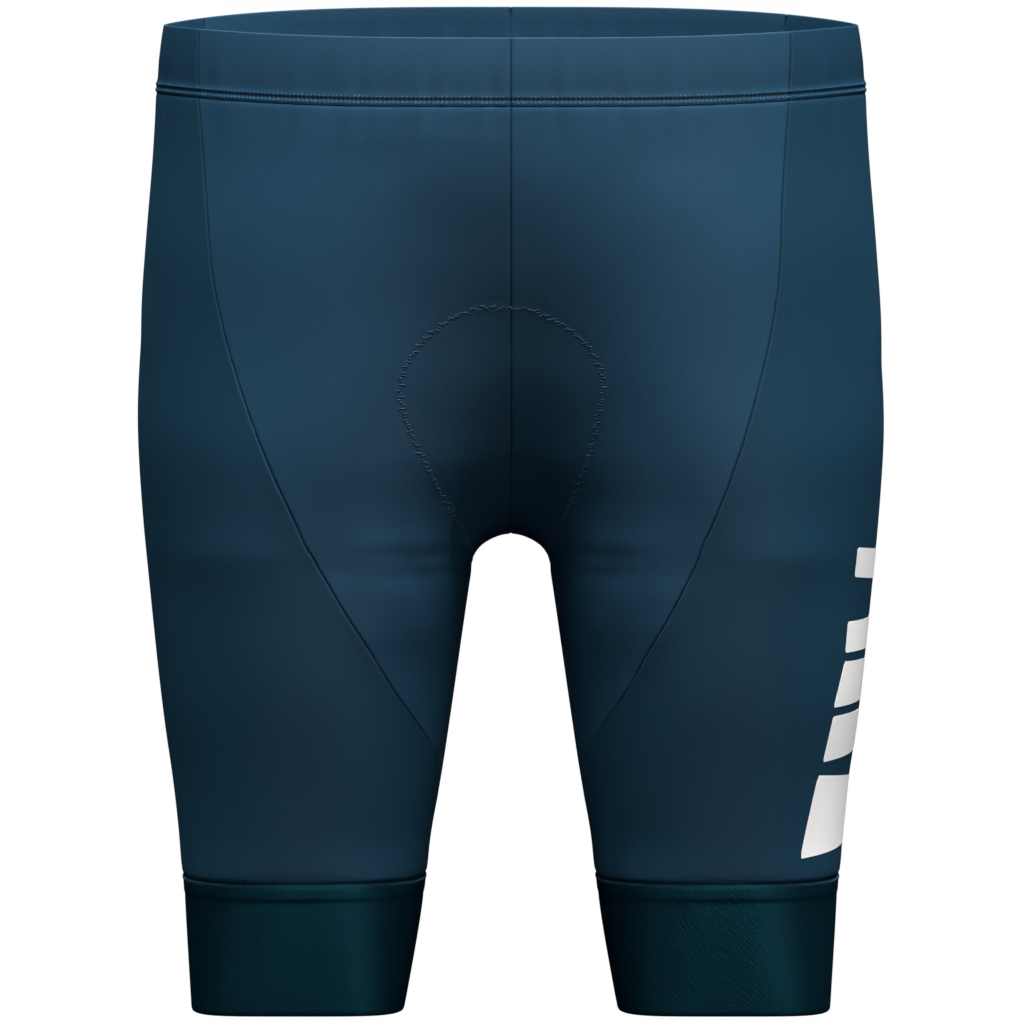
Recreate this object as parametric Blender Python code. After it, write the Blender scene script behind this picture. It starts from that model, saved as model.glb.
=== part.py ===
"""Triathlon shorts in their worn shape, hollow and open at the waist and at both legs. Metres, +Z up.

The front faces -Y and the wearer's left is +X. The origin is the middle of the waist opening, level with the rim at
the wearer's sides. One formula, form(), gives the surface that every piece is cut from: each leg is a ring from its
inner to its outer side, the two rings overlap above the crotch, and the cloth spans the cleft between them.
"""

from collections import namedtuple

import bmesh
import bpy
import numpy as np

# Heights of the garment's lines, measured down from the rim at the sides.
BAND_Z = -0.0310
CROTCH_Z = -0.2307
TIP_Z = -0.3520
GRIPPER_Z = -0.3850
HEM_Z = -0.4465

# Cloth and seams.
CLOTH = 0.0015
SEAM_GAP = 0.0003
SPAN = 0.014  # the cloth crosses the cleft between the legs in a curve of about this radius
HOLLOW_WIDTH = 0.050  # half of the hollow down the middle of the front

# The rim is higher at the back than at the front; the lift fades out over FADE below the waistband.
RIM_TILT = 0.0034
RIM_BOW = 0.0022
RIM_DEPTH = 0.103
FADE = 0.090

# The curved seams are drawn round to the wearer's right by this angle at the waist, and not at all at SHIFT_END.
SEAM_SHIFT = 0.100
SHIFT_END = -0.310

# Sections from the rim to the hem. outer: half the width of the shorts. inner: inner side of each leg's ring, below
# zero where the rings overlap and equal to SPAN at the crotch. front, back: reach of the cloth before and behind the
# line of the side. hollow: how far the front falls back at the centre seam. square: 2 is an ellipse, more is boxier.
Section = namedtuple("Section", "z outer inner front hollow back square")
SECTIONS = (
    Section(z=0.0000, outer=0.1583, inner=-0.1310, front=0.1030, hollow=0.0000, back=0.1000, square=2.49),
    Section(z=-0.0310, outer=0.1609, inner=-0.1330, front=0.1060, hollow=0.0000, back=0.1060, square=2.50),
    Section(z=-0.0600, outer=0.1628, inner=-0.1340, front=0.1080, hollow=0.0020, back=0.1140, square=2.45),
    Section(z=-0.1000, outer=0.1661, inner=-0.1260, front=0.1090, hollow=0.0070, back=0.1250, square=2.38),
    Section(z=-0.1500, outer=0.1690, inner=-0.0830, front=0.1075, hollow=0.0140, back=0.1330, square=2.30),
    Section(z=-0.1900, outer=0.1694, inner=-0.0370, front=0.1045, hollow=0.0155, back=0.1300, square=2.28),
    Section(z=-0.2200, outer=0.1676, inner=0.0010, front=0.1015, hollow=0.0100, back=0.1205, square=2.25),
    Section(z=CROTCH_Z, outer=0.1667, inner=SPAN, front=0.1004, hollow=0.0055, back=0.1165, square=2.25),
    Section(z=-0.2360, outer=0.1662, inner=0.0193, front=0.0999, hollow=0.0040, back=0.1148, square=2.25),
    Section(z=-0.2410, outer=0.1657, inner=0.0219, front=0.0993, hollow=0.0030, back=0.1130, square=2.25),
    Section(z=-0.2500, outer=0.1648, inner=0.0230, front=0.0983, hollow=0.0020, back=0.1100, square=2.25),
    Section(z=-0.3000, outer=0.1596, inner=0.0291, front=0.0905, hollow=0.0000, back=0.0955, square=2.27),
    Section(z=-0.3500, outer=0.1530, inner=0.0356, front=0.0805, hollow=0.0000, back=0.0840, square=2.38),
    Section(z=GRIPPER_Z, outer=0.1493, inner=0.0401, front=0.0740, hollow=0.0000, back=0.0780, square=2.60),
    Section(z=-0.4150, outer=0.1475, inner=0.0448, front=0.0700, hollow=0.0000, back=0.0735, square=3.10),
    Section(z=HEM_Z, outer=0.1455, inner=0.0503, front=0.0660, hollow=0.0000, back=0.0690, square=4.10),
)

# The curved seam between the front panel and the side panel, and at the back its mirror image. angle: where it crosses
# each leg's ring, in radians from the ring's inner side. The seams of the front and the back meet on the inseam at
# TIP_Z, and below it the side panel is closed by the inseam alone.
SeamPoint = namedtuple("SeamPoint", "z angle")
CURVED_SEAM = (
    SeamPoint(z=0.0000, angle=2.500),
    SeamPoint(z=BAND_Z, angle=2.458),
    SeamPoint(z=-0.0750, angle=2.389),
    SeamPoint(z=-0.1200, angle=2.299),
    SeamPoint(z=-0.1600, angle=2.126),
    SeamPoint(z=-0.2000, angle=1.860),
    SeamPoint(z=-0.2400, angle=1.490),
    SeamPoint(z=-0.2600, angle=1.340),
    SeamPoint(z=-0.2800, angle=1.150),
    SeamPoint(z=-0.3000, angle=0.930),
    SeamPoint(z=-0.3150, angle=0.683),
    SeamPoint(z=-0.3300, angle=0.380),
    SeamPoint(z=-0.3420, angle=0.160),
    SeamPoint(z=TIP_Z, angle=0.000),
)

# Profiles of the waistband and of a gripper: a closed loop of points, out from the form and up from the lower edge.
Edge = namedtuple("Edge", "out up")
BAND_PROFILE = (
    Edge(out=0.0004, up=0.0002),
    Edge(out=0.0006, up=0.0022),
    Edge(out=0.0004, up=0.0044),
    Edge(out=-0.0006, up=0.0058),
    Edge(out=-0.0005, up=0.0170),
    Edge(out=-0.0006, up=0.0285),
    Edge(out=-0.0012, up=0.0302),
    Edge(out=-0.0022, up=0.0308),
    Edge(out=-0.0029, up=0.0300),
    Edge(out=-0.0032, up=0.0285),
    Edge(out=-0.0031, up=0.0170),
    Edge(out=-0.0031, up=0.0002),
)
GRIPPER_PROFILE = (
    Edge(out=-0.0006, up=0.0002),
    Edge(out=-0.0003, up=0.0030),
    Edge(out=-0.0004, up=0.0200),
    Edge(out=-0.0004, up=0.0360),
    Edge(out=-0.0003, up=0.0515),
    Edge(out=0.0001, up=0.0525),
    Edge(out=0.0001, up=0.0613),
    Edge(out=-0.0014, up=0.0613),
    Edge(out=-0.0019, up=0.0360),
    Edge(out=-0.0019, up=0.0200),
    Edge(out=-0.0018, up=0.0030),
    Edge(out=-0.0015, up=0.0002),
)

# The seat pad, along the centre line from its front end, under the crotch, to its back end. right, left: how far it
# reaches over the cloth to the wearer's right and left, which differ a little at the front.
PadRow = namedtuple("PadRow", "along right left")
PAD_TOP_Z = -0.1212
PAD_THICK = 0.0040
PAD_EDGE = 0.0010
PAD_CLEAR = 0.0011  # between the pad and the cloth, whose facets differ
PAD_END = 0.018  # the rounding at either end of the pad
PAD_ROWS = (
    PadRow(along=0.000, right=0.0120, left=0.0080),
    PadRow(along=0.003, right=0.0210, left=0.0130),
    PadRow(along=0.007, right=0.0290, left=0.0220),
    PadRow(along=0.015, right=0.0420, left=0.0345),
    PadRow(along=0.023, right=0.0495, left=0.0415),
    PadRow(along=0.034, right=0.0520, left=0.0430),
    PadRow(along=0.046, right=0.0490, left=0.0402),
    PadRow(along=0.057, right=0.0447, left=0.0385),
    PadRow(along=0.068, right=0.0400, left=0.0360),
    PadRow(along=0.090, right=0.0305, left=0.0283),
    PadRow(along=0.113, right=0.0232, left=0.0222),
    PadRow(along=0.140, right=0.0200, left=0.0200),
    PadRow(along=0.180, right=0.0240, left=0.0240),
    PadRow(along=0.230, right=0.0500, left=0.0500),
    PadRow(along=0.280, right=0.0680, left=0.0680),
    PadRow(along=0.320, right=0.0660, left=0.0660),
    PadRow(along=0.342, right=0.0500, left=0.0500),
    PadRow(along=0.355, right=0.0240, left=0.0240),
)

# How finely each piece is divided.
ROWS_TO_TIP = 24
ROWS_BELOW_TIP = 4
PANEL_COLUMNS = 11
CLOSER = 1.35  # above 1, a panel's columns crowd towards the centre seam, where the crotch curves most
SIDE_COLUMNS = 28
GRIPPER_COLUMNS = 32
BAND_COLUMNS = {"front": 8, "side": 7, "back": 8}
PAD_COLUMNS = 8
FINE = 240  # points on a curve before it is divided evenly

DEEP_BLUE = (0.020, 0.062, 0.105, 1.0)
DARK_TEAL = (0.004, 0.030, 0.042, 1.0)
PAD_GREY = (0.030, 0.045, 0.060, 1.0)


def along_table(rows, column, z):
    """A column of a table at the height z: a smooth curve through the rows, which run downwards."""
    heights = np.array([row.z for row in rows])[::-1]
    values = np.array([getattr(row, column) for row in rows])[::-1]
    slopes = np.gradient(values, heights)
    z = np.clip(z, heights[0], heights[-1])
    low = np.clip(np.searchsorted(heights, z) - 1, 0, len(heights) - 2)
    step = heights[low + 1] - heights[low]
    t = (z - heights[low]) / step
    return (
        values[low] * (1 + 2 * t) * (1 - t) ** 2
        + slopes[low] * step * t * (1 - t) ** 2
        + values[low + 1] * t**2 * (3 - 2 * t)
        + slopes[low + 1] * step * t**2 * (t - 1)
    )


def section(column, z):
    return along_table(SECTIONS, column, z)


def ring_middle_and_half(z):
    """Middle and half width of a leg's ring, measured across as hypot(x, SPAN)."""
    outer = np.hypot(section("outer", z), SPAN)
    inner = section("inner", z)
    return (outer + inner) / 2, (outer - inner) / 2


def front_depth(x, z):
    """Reach of the front, which falls back in a hollow along the centre seam."""
    return section("front", z) - section("hollow", z) * np.exp(-((x / HOLLOW_WIDTH) ** 2))


def form(points):
    """Zero on the outside of the cloth, below zero within the shorts."""
    x, y, z = points.T
    middle, half = ring_middle_and_half(z)
    across = np.abs((np.hypot(x, SPAN) - middle) / half)
    depth = np.where(y < 0, front_depth(x, z), section("back", z))
    square = section("square", z)
    return across**square + np.abs(y / depth) ** square - 1


def gradient(points):
    reach = 2e-5
    steps = np.eye(3) * reach
    return np.stack([form(points + s) - form(points - s) for s in steps], axis=1) / (2 * reach)


def outward(points):
    """Unit normals of the form."""
    slope = gradient(points)
    return slope / np.linalg.norm(slope, axis=1, keepdims=True)


def settled(points):
    """Points near the form, moved onto it."""
    for _ in range(8):
        slope = gradient(points)
        points = points - slope * (form(points) / (slope**2).sum(axis=1))[:, None]
    return points


def at_angle(angle, z):
    """Point of a leg's ring: angle 0 is its inner side, a half turn its outer side, and the front lies between."""
    middle, half = ring_middle_and_half(z)
    power = 2 / section("square", z)
    across = -np.sign(np.cos(angle)) * np.abs(np.cos(angle)) ** power
    ahead = -np.sign(np.sin(angle)) * np.abs(np.sin(angle)) ** power
    x = np.sqrt(np.maximum((middle + half * across) ** 2 - SPAN**2, 0))
    y = ahead * np.where(ahead < 0, front_depth(x, z), section("back", z))
    return np.stack([x, y, z + np.zeros_like(x)], axis=-1)


def front_angle(x, z):
    """Angle at which the front of a ring is x from the centre line. The back's is a full turn less this."""
    middle, half = ring_middle_and_half(z)
    across = np.clip((np.hypot(x, SPAN) - middle) / half, -1, 1)
    return np.arccos(-np.sign(across) * np.abs(across) ** (section("square", z) / 2))


def lengths_along(line):
    steps = np.linalg.norm(np.diff(line, axis=0), axis=1)
    return np.concatenate([[0], np.cumsum(steps)])


def points_along(line, wanted):
    """Points of a curve at the wanted lengths along it."""
    reached = lengths_along(line)
    return np.stack([np.interp(wanted, reached, line[:, axis]) for axis in range(3)], axis=1)


def divided(line, count, closer=1.0):
    """count + 1 points that divide a curve, closer together towards its start when closer is above 1."""
    share = np.linspace(0, 1, count + 1) ** closer
    return points_along(line, share * lengths_along(line)[-1])


def row_heights():
    upper = np.linspace(BAND_Z, TIP_Z, ROWS_TO_TIP + 1)
    lower = np.linspace(TIP_Z, GRIPPER_Z, ROWS_BELOW_TIP + 1)
    return np.concatenate([upper, lower[1:]])


def seam_angle(z, side):
    """Angle of the front's curved seam on the ring of one leg: side is 1 for the wearer's left, -1 for the right."""
    drawn = np.clip((z - SHIFT_END) / (BAND_Z - SHIFT_END), 0, 1)
    return along_table(CURVED_SEAM, "angle", z) - side * SEAM_SHIFT * drawn


def centre_curve(facing, count):
    """The centre seam, from the waistband down the front or the back to the crotch."""
    drop = np.linspace(1, 0, FINE) ** 2
    z = CROTCH_Z + (BAND_Z - CROTCH_Z) * drop
    line = at_angle(front_angle(np.zeros_like(z), z), z)
    if facing == "back":
        line = at_angle(2 * np.pi - front_angle(np.zeros_like(z), z), z)
    line[:, 0] = 0
    return divided(line, count)


def inseam_curve(count):
    """The inseam, from the crotch down to the tip where the curved seams meet it."""
    drop = np.linspace(0, 1, FINE) ** 2
    z = CROTCH_Z + (TIP_Z - CROTCH_Z) * drop
    return divided(at_angle(np.zeros_like(z), z), count, CLOSER)


def patch(top, bottom, left, right):
    """Grid of points filled in between four edges: rows run from left to right, the first row is the top edge."""
    u = np.linspace(0, 1, len(top))[None, :, None] ** CLOSER
    v = np.linspace(0, 1, len(left))[:, None, None]
    across = left[:, None] * (1 - u) + right[:, None] * u
    down = top[None] * (1 - v) + bottom[None] * v
    corners = (top[0] * (1 - u) + top[-1] * u) * (1 - v) + (bottom[0] * (1 - u) + bottom[-1] * u) * v
    return across + down - corners


def panel_points(facing, side):
    """The front or the back panel of one side: centre seam, waist, curved seam and upper inseam are its edges."""
    z = row_heights()[: ROWS_TO_TIP + 1]
    angle = seam_angle(z, side)
    start = front_angle(0.0, BAND_Z)
    top_angle = np.linspace(start, angle[0], FINE)
    if facing == "back":
        angle = 2 * np.pi - angle
        top_angle = 2 * np.pi - top_angle
    top = divided(at_angle(top_angle, BAND_Z + np.zeros(FINE)), PANEL_COLUMNS, CLOSER)
    top[0, 0] = 0
    grid = patch(
        top=top,
        bottom=inseam_curve(PANEL_COLUMNS),
        left=centre_curve(facing, ROWS_TO_TIP),
        right=at_angle(angle, z),
    )
    grid[1:-1, 1:-1] = settled(grid[1:-1, 1:-1].reshape(-1, 3)).reshape(grid[1:-1, 1:-1].shape)
    return grid


def side_points(side):
    """The side panel, row by row, from the front's curved seam round the outside of the leg to the back's."""
    rows = []
    for z in row_heights():
        start = float(seam_angle(z, side))
        angle = np.linspace(start, 2 * np.pi - start, FINE)
        rows.append(divided(at_angle(angle, z + np.zeros(FINE)), SIDE_COLUMNS))
    return np.stack(rows)


def trimmed(grid):
    """The grid with its four edges drawn in by half a seam gap."""
    grid = grid.copy()
    for edge, inner in ((0, 1), (-1, -2)):
        for view in (grid, grid.swapaxes(0, 1)):
            step = view[inner] - view[edge]
            view[edge] += step / np.linalg.norm(step, axis=-1, keepdims=True) * SEAM_GAP / 2
    return grid


def worn(points, side=1):
    """Lifts the back of the waist, and puts a piece on its side of the centre line."""
    points = points.copy()
    share = points[..., 1] / RIM_DEPTH
    fade = np.clip((points[..., 2] - BAND_Z + FADE) / FADE, 0, 1)
    points[..., 2] += (RIM_TILT * share + RIM_BOW * share**2) * fade**2 * (3 - 2 * fade)
    points[..., 0] *= side
    return points


def moved_out(grid, distance):
    """The grid moved out from the form by a distance, which may be negative."""
    flat = grid.reshape(-1, 3)
    return (flat + outward(flat) * np.reshape(distance, (-1, 1))).reshape(grid.shape)


def clear_scene():
    for old in list(bpy.data.objects):
        bpy.data.objects.remove(old)


def make_material(name, colour, roughness):
    material = bpy.data.materials.new(name)
    material.use_nodes = True
    shader = material.node_tree.nodes["Principled BSDF"]
    shader.inputs["Base Color"].default_value = colour
    shader.inputs["Roughness"].default_value = roughness
    shader.inputs["Metallic"].default_value = 0.0
    return material


def add_grid(shape, points):
    """A grid of faces in the bmesh, its vertices laid on an array of points."""
    rows, columns = points.shape[:2]
    made = bmesh.ops.create_grid(shape, x_segments=columns - 1, y_segments=rows - 1, size=1)
    for vertex, place in zip(made["verts"], points.reshape(-1, 3)):
        vertex.co = place


def finish(name, shape, material, collection):
    bmesh.ops.recalc_face_normals(shape, faces=shape.faces[:])
    mesh = bpy.data.meshes.new(name)
    shape.to_mesh(mesh)
    shape.free()
    mesh.materials.append(material)
    mesh.shade_smooth()
    mesh.set_sharp_from_angle(angle=np.radians(50))
    piece = bpy.data.objects.new(name, mesh)
    collection.objects.link(piece)
    return piece


def make_wall(name, outside, inside, material, collection):
    """A sheet of cloth: its outside and inside as grids, joined round their edges."""
    shape = bmesh.new()
    add_grid(shape, outside)
    add_grid(shape, inside)
    rim = [edge for edge in shape.edges if edge.is_boundary]
    bmesh.ops.bridge_loops(shape, edges=rim)
    return finish(name, shape, material, collection)


def make_panel(name, grid, side, material, collection):
    outside = trimmed(grid)
    inside = moved_out(outside, -CLOTH)
    return make_wall(name, worn(outside, side), worn(inside, side), material, collection)


def profile_grid(profile, lower_z, line_at):
    """Points of a profile carried along a line that line_at gives for each height: one row for each of its points."""
    rows = [moved_out(line_at(lower_z + point.up), point.out) for point in profile]
    return np.stack(rows + rows[:1])


def make_profile_piece(name, points, material, collection):
    """A profile closed on itself, and capped at its ends if it has any."""
    shape = bmesh.new()
    add_grid(shape, points)
    bmesh.ops.remove_doubles(shape, verts=shape.verts[:], dist=1e-6)
    ends = [edge for edge in shape.edges if edge.is_boundary]
    bmesh.ops.holes_fill(shape, edges=ends, sides=0)
    bmesh.ops.triangulate(shape, faces=[face for face in shape.faces if len(face.verts) > 4])
    return finish(name, shape, material, collection)


def make_band_piece(facing, side, material, collection):
    """A stretch of the waistband between two seams, on the panel that it finishes."""

    def line_at(z):
        centre = float(front_angle(0.0, z))
        seam = float(seam_angle(z, side))
        start, stop = {
            "front": (centre, seam),
            "side": (seam, 2 * np.pi - seam),
            "back": (2 * np.pi - seam, 2 * np.pi - centre),
        }[facing]
        line = at_angle(np.linspace(start, stop, FINE), z)
        length = lengths_along(line)[-1]
        wanted = np.linspace(SEAM_GAP / 2, length - SEAM_GAP / 2, BAND_COLUMNS[facing] + 1)
        return points_along(line, wanted)

    points = worn(profile_grid(BAND_PROFILE, BAND_Z, line_at), side)
    hand = "left" if side > 0 else "right"
    return make_profile_piece(f"waistband_{facing}_{hand}", points, material, collection)


def make_gripper(side, material, collection):
    """The elastic band at a hem: a profile carried all the way round the leg."""

    def line_at(z):
        around = np.linspace(0, 2 * np.pi, FINE)
        return divided(at_angle(around, z), GRIPPER_COLUMNS)

    points = worn(profile_grid(GRIPPER_PROFILE, HEM_Z, line_at), side)
    hand = "left" if side > 0 else "right"
    return make_profile_piece(f"gripper_{hand}", points, material, collection)


def under_crotch():
    """The inside of the front and back panels as one grid: rows run over the body from right to left, the first row
    is at the front of the waist, the middle one lies along the inseams, and the last is at the back of the waist."""
    halves = []
    for side in (-1, 1):
        front = panel_points("front", side)
        back = panel_points("back", side)
        half = np.concatenate([front, back[-2::-1]])
        half[..., 0] *= side
        halves.append(half)
    right, left = halves
    return np.concatenate([right[:, :0:-1], left], axis=1)


def between_rows(grid, place):
    """The row of a grid at a place between whole rows."""
    low = min(int(place), len(grid) - 2)
    share = place - low
    return grid[low] * (1 - share) + grid[low + 1] * share


def pad_points():
    """Grid of the pad on the inside of the panels, laid on their own rows."""
    panels = under_crotch()
    middle = panels.shape[1] // 2
    centre = panels[:, middle]
    reached = lengths_along(centre)
    front = centre[: len(centre) // 2, 2]
    first = np.interp(-PAD_TOP_Z, -front, reached[: len(front)])
    length = PAD_ROWS[-1].along
    along = reached - first
    along = along[(along > PAD_END) & (along < length - PAD_END)]
    ends = PAD_END * np.array([0, 0.15, 0.4, 0.75])
    along = np.concatenate([ends, along, length - ends[::-1]])
    table = {column: [getattr(row, column) for row in PAD_ROWS] for column in PadRow._fields}
    right_reach = np.interp(along, table["along"], table["right"])
    left_reach = np.interp(along, table["along"], table["left"])
    places = np.interp(along + first, reached, np.arange(len(reached)))
    share = np.linspace(0, 1, PAD_COLUMNS + 1)
    rows = []
    for place, to_right, to_left in zip(places, right_reach, left_reach):
        row = between_rows(panels, place)
        right = points_along(row[middle::-1], share * to_right)
        left = points_along(row[middle:], share * to_left)
        rows.append(np.concatenate([right[:0:-1], left]))
    return np.stack(rows)


def make_pad(material, collection):
    """The seat pad inside the crotch, thin at its edge."""
    grid = pad_points()
    v = np.linspace(-1, 1, grid.shape[0])[:, None]
    u = np.linspace(-1, 1, grid.shape[1])[None, :]
    swell = (1 - u**4) * (1 - v**6)
    below = np.full(grid.shape[:2], -CLOTH - PAD_CLEAR)
    above = below - PAD_EDGE - (PAD_THICK - PAD_EDGE) * swell
    return make_wall("seat_pad", worn(moved_out(grid, below)), worn(moved_out(grid, above)), material, collection)


def build():
    clear_scene()
    collection = bpy.data.collections.new("triathlon_shorts")
    bpy.context.scene.collection.children.link(collection)
    knit = make_material("body_knit", DEEP_BLUE, 0.6)
    elastic = make_material("gripper_knit", DARK_TEAL, 0.45)
    foam = make_material("pad_fleece", PAD_GREY, 0.9)
    for hand, side in (("left", 1), ("right", -1)):
        for facing in ("front", "back"):
            make_panel(f"{facing}_{hand}", panel_points(facing, side), side, knit, collection)
        make_panel(f"side_{hand}", side_points(side), side, knit, collection)
        for facing in BAND_COLUMNS:
            make_band_piece(facing, side, knit, collection)
        make_gripper(side, elastic, collection)
    make_pad(foam, collection)


build()
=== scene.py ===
"""Triathlon shorts dressed for their photograph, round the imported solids. Metres, +Z up.

The front faces -Y and the wearer's left is +X. Every piece is laid on one surface, form(), the same that the solids are
cut from, and shares one relief: the puckers, troughs and swells of the cloth.
"""

import math
from collections import namedtuple

import bmesh
import bpy
import numpy as np
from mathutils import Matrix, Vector


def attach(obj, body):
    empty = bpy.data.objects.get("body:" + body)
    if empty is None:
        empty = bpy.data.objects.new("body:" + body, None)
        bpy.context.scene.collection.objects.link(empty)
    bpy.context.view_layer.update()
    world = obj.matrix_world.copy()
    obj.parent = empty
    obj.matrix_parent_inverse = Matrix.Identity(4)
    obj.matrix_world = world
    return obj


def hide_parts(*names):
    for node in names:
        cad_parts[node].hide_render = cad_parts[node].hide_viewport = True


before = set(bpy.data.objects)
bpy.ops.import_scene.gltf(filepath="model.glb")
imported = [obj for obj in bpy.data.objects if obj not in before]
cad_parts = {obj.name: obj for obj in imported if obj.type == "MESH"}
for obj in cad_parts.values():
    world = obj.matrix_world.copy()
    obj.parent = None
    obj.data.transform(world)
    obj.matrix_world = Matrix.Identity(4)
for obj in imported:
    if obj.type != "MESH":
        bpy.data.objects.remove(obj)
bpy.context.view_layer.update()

# ---- The form of the garment, as in the part's source ----

# Heights below the waist's rim.
BAND_Z = -0.0310
CROTCH_Z = -0.2307
TIP_Z = -0.3520  # where the curved seams meet the inseam
GRIPPER_Z = -0.3850
HEM_Z = -0.4465

SPAN = 0.014  # rounds the body over from one leg to the other
HOLLOW_WIDTH = 0.050
RIM_LIFT = (-0.0035, -0.0015, 0.0090, 0.0030, -0.0023, 0.0005)  # polynomial over the place between front and back
RIM_DEPTH = 0.103
RIM_FADE = 0.090  # distance below the waistband over which the lift of the rim fades out
SEAM_SHIFT = 0.100  # at the waist the curved seams lie this much further round on the right, and less on the left
SHIFT_END = -0.310
LEG_X = 0.095
LEG_RADIUS = 0.075
HAND = {1: "left", -1: "right"}

Section = namedtuple("Section", "z outer inner front hollow back square")
SECTIONS = (
    Section(0.0000, 0.1583, -0.1310, 0.1030, 0.0000, 0.1000, 2.49),
    Section(-0.0310, 0.1609, -0.1330, 0.1060, 0.0000, 0.1060, 2.50),
    Section(-0.0600, 0.1628, -0.1340, 0.1080, 0.0020, 0.1140, 2.45),
    Section(-0.1000, 0.1661, -0.1260, 0.1090, 0.0070, 0.1250, 2.38),
    Section(-0.1500, 0.1690, -0.0830, 0.1075, 0.0140, 0.1330, 2.30),
    Section(-0.1900, 0.1694, -0.0370, 0.1045, 0.0155, 0.1300, 2.28),
    Section(-0.2200, 0.1676, 0.0010, 0.1015, 0.0100, 0.1205, 2.25),
    Section(CROTCH_Z, 0.1667, SPAN, 0.1004, 0.0055, 0.1165, 2.25),
    Section(-0.2360, 0.1662, 0.0193, 0.0999, 0.0040, 0.1148, 2.25),
    Section(-0.2410, 0.1657, 0.0219, 0.0993, 0.0030, 0.1130, 2.25),
    Section(-0.2500, 0.1648, 0.0230, 0.0983, 0.0020, 0.1100, 2.25),
    Section(-0.3000, 0.1596, 0.0291, 0.0905, 0.0000, 0.0955, 2.27),
    Section(-0.3500, 0.1530, 0.0356, 0.0805, 0.0000, 0.0840, 2.38),
    Section(GRIPPER_Z, 0.1493, 0.0401, 0.0740, 0.0000, 0.0780, 2.60),
    Section(-0.4150, 0.1475, 0.0448, 0.0700, 0.0000, 0.0735, 3.10),
    Section(HEM_Z, 0.1455, 0.0503, 0.0660, 0.0000, 0.0690, 4.10),
)

SeamPoint = namedtuple("SeamPoint", "z angle")
CURVED_SEAM = (
    SeamPoint(0.0000, 2.500),
    SeamPoint(BAND_Z, 2.458),
    SeamPoint(-0.0750, 2.389),
    SeamPoint(-0.1200, 2.299),
    SeamPoint(-0.1600, 2.126),
    SeamPoint(-0.2000, 1.860),
    SeamPoint(-0.2400, 1.490),
    SeamPoint(-0.2600, 1.340),
    SeamPoint(-0.2800, 1.150),
    SeamPoint(-0.3000, 0.930),
    SeamPoint(-0.3150, 0.683),
    SeamPoint(-0.3300, 0.380),
    SeamPoint(-0.3420, 0.160),
    SeamPoint(TIP_Z, 0.000),
)

PadRow = namedtuple("PadRow", "along right left")
PAD_TOP_Z = -0.1212
PAD_ROWS = (
    PadRow(0.000, 0.0120, 0.0080),
    PadRow(0.003, 0.0210, 0.0130),
    PadRow(0.007, 0.0290, 0.0220),
    PadRow(0.015, 0.0420, 0.0345),
    PadRow(0.023, 0.0495, 0.0415),
    PadRow(0.034, 0.0520, 0.0430),
    PadRow(0.046, 0.0490, 0.0402),
    PadRow(0.057, 0.0447, 0.0385),
    PadRow(0.068, 0.0400, 0.0360),
    PadRow(0.090, 0.0305, 0.0283),
    PadRow(0.113, 0.0232, 0.0222),
    PadRow(0.140, 0.0200, 0.0200),
    PadRow(0.180, 0.0240, 0.0240),
    PadRow(0.230, 0.0500, 0.0500),
    PadRow(0.280, 0.0680, 0.0680),
    PadRow(0.320, 0.0660, 0.0660),
    PadRow(0.342, 0.0500, 0.0500),
    PadRow(0.355, 0.0240, 0.0240),
)
FINE = 400  # points on a curve before it is divided
CLOSER = 1.35  # how much closer a panel's points lie towards its centre seam
SETTLING_ROUNDS = 6


def rise(value, start, reach):
    """0 up to the start, 1 past the reach, and a smooth rise between."""
    share = np.clip((value - start) / reach, 0, 1)
    return share**2 * (3 - 2 * share)


def bell(value, centre, width):
    """1 at the centre, falling away smoothly on both sides."""
    return np.exp(-(((value - centre) / width) ** 2))


def along_table(rows, column, z):
    """A column of a table at the height z: a smooth curve through the rows, which run downwards."""
    heights = np.array([row.z for row in rows])[::-1]
    values = np.array([getattr(row, column) for row in rows])[::-1]
    slopes = np.gradient(values, heights)
    z = np.clip(z, heights[0], heights[-1])
    low = np.clip(np.searchsorted(heights, z) - 1, 0, len(heights) - 2)
    step = heights[low + 1] - heights[low]
    t = (z - heights[low]) / step
    return (
        values[low] * (1 + 2 * t) * (1 - t) ** 2
        + slopes[low] * step * t * (1 - t) ** 2
        + values[low + 1] * t**2 * (3 - 2 * t)
        + slopes[low + 1] * step * t**2 * (t - 1)
    )


def section(column, z):
    return along_table(SECTIONS, column, z)


def ring_middle_and_half(z):
    outer = np.hypot(section("outer", z), SPAN)
    inner = section("inner", z)
    return (outer + inner) / 2, (outer - inner) / 2


def front_depth(x, z):
    """Reach of the front, which falls back in a hollow along the centre seam."""
    return section("front", z) - section("hollow", z) * bell(x, 0, HOLLOW_WIDTH)


def form(points):
    """Zero on the outside of the cloth, below zero within the shorts."""
    x, y, z = points.T
    middle, half = ring_middle_and_half(z)
    across = np.abs((np.hypot(x, SPAN) - middle) / half)
    depth = np.where(y < 0, front_depth(x, z), section("back", z))
    square = section("square", z)
    return across**square + np.abs(y / depth) ** square - 1


def gradient(points):
    reach = 2e-5
    steps = np.eye(3) * reach
    return np.stack([form(points + s) - form(points - s) for s in steps], axis=1) / (2 * reach)


def outward(points):
    slope = gradient(points)
    return slope / np.linalg.norm(slope, axis=1, keepdims=True)


def settled(grid):
    """Points near the form, moved onto it."""
    points = grid.reshape(-1, 3)
    for _ in range(SETTLING_ROUNDS):
        slope = gradient(points)
        points = points - slope * (form(points) / (slope**2).sum(axis=1))[:, None]
    return points.reshape(grid.shape)


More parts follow.
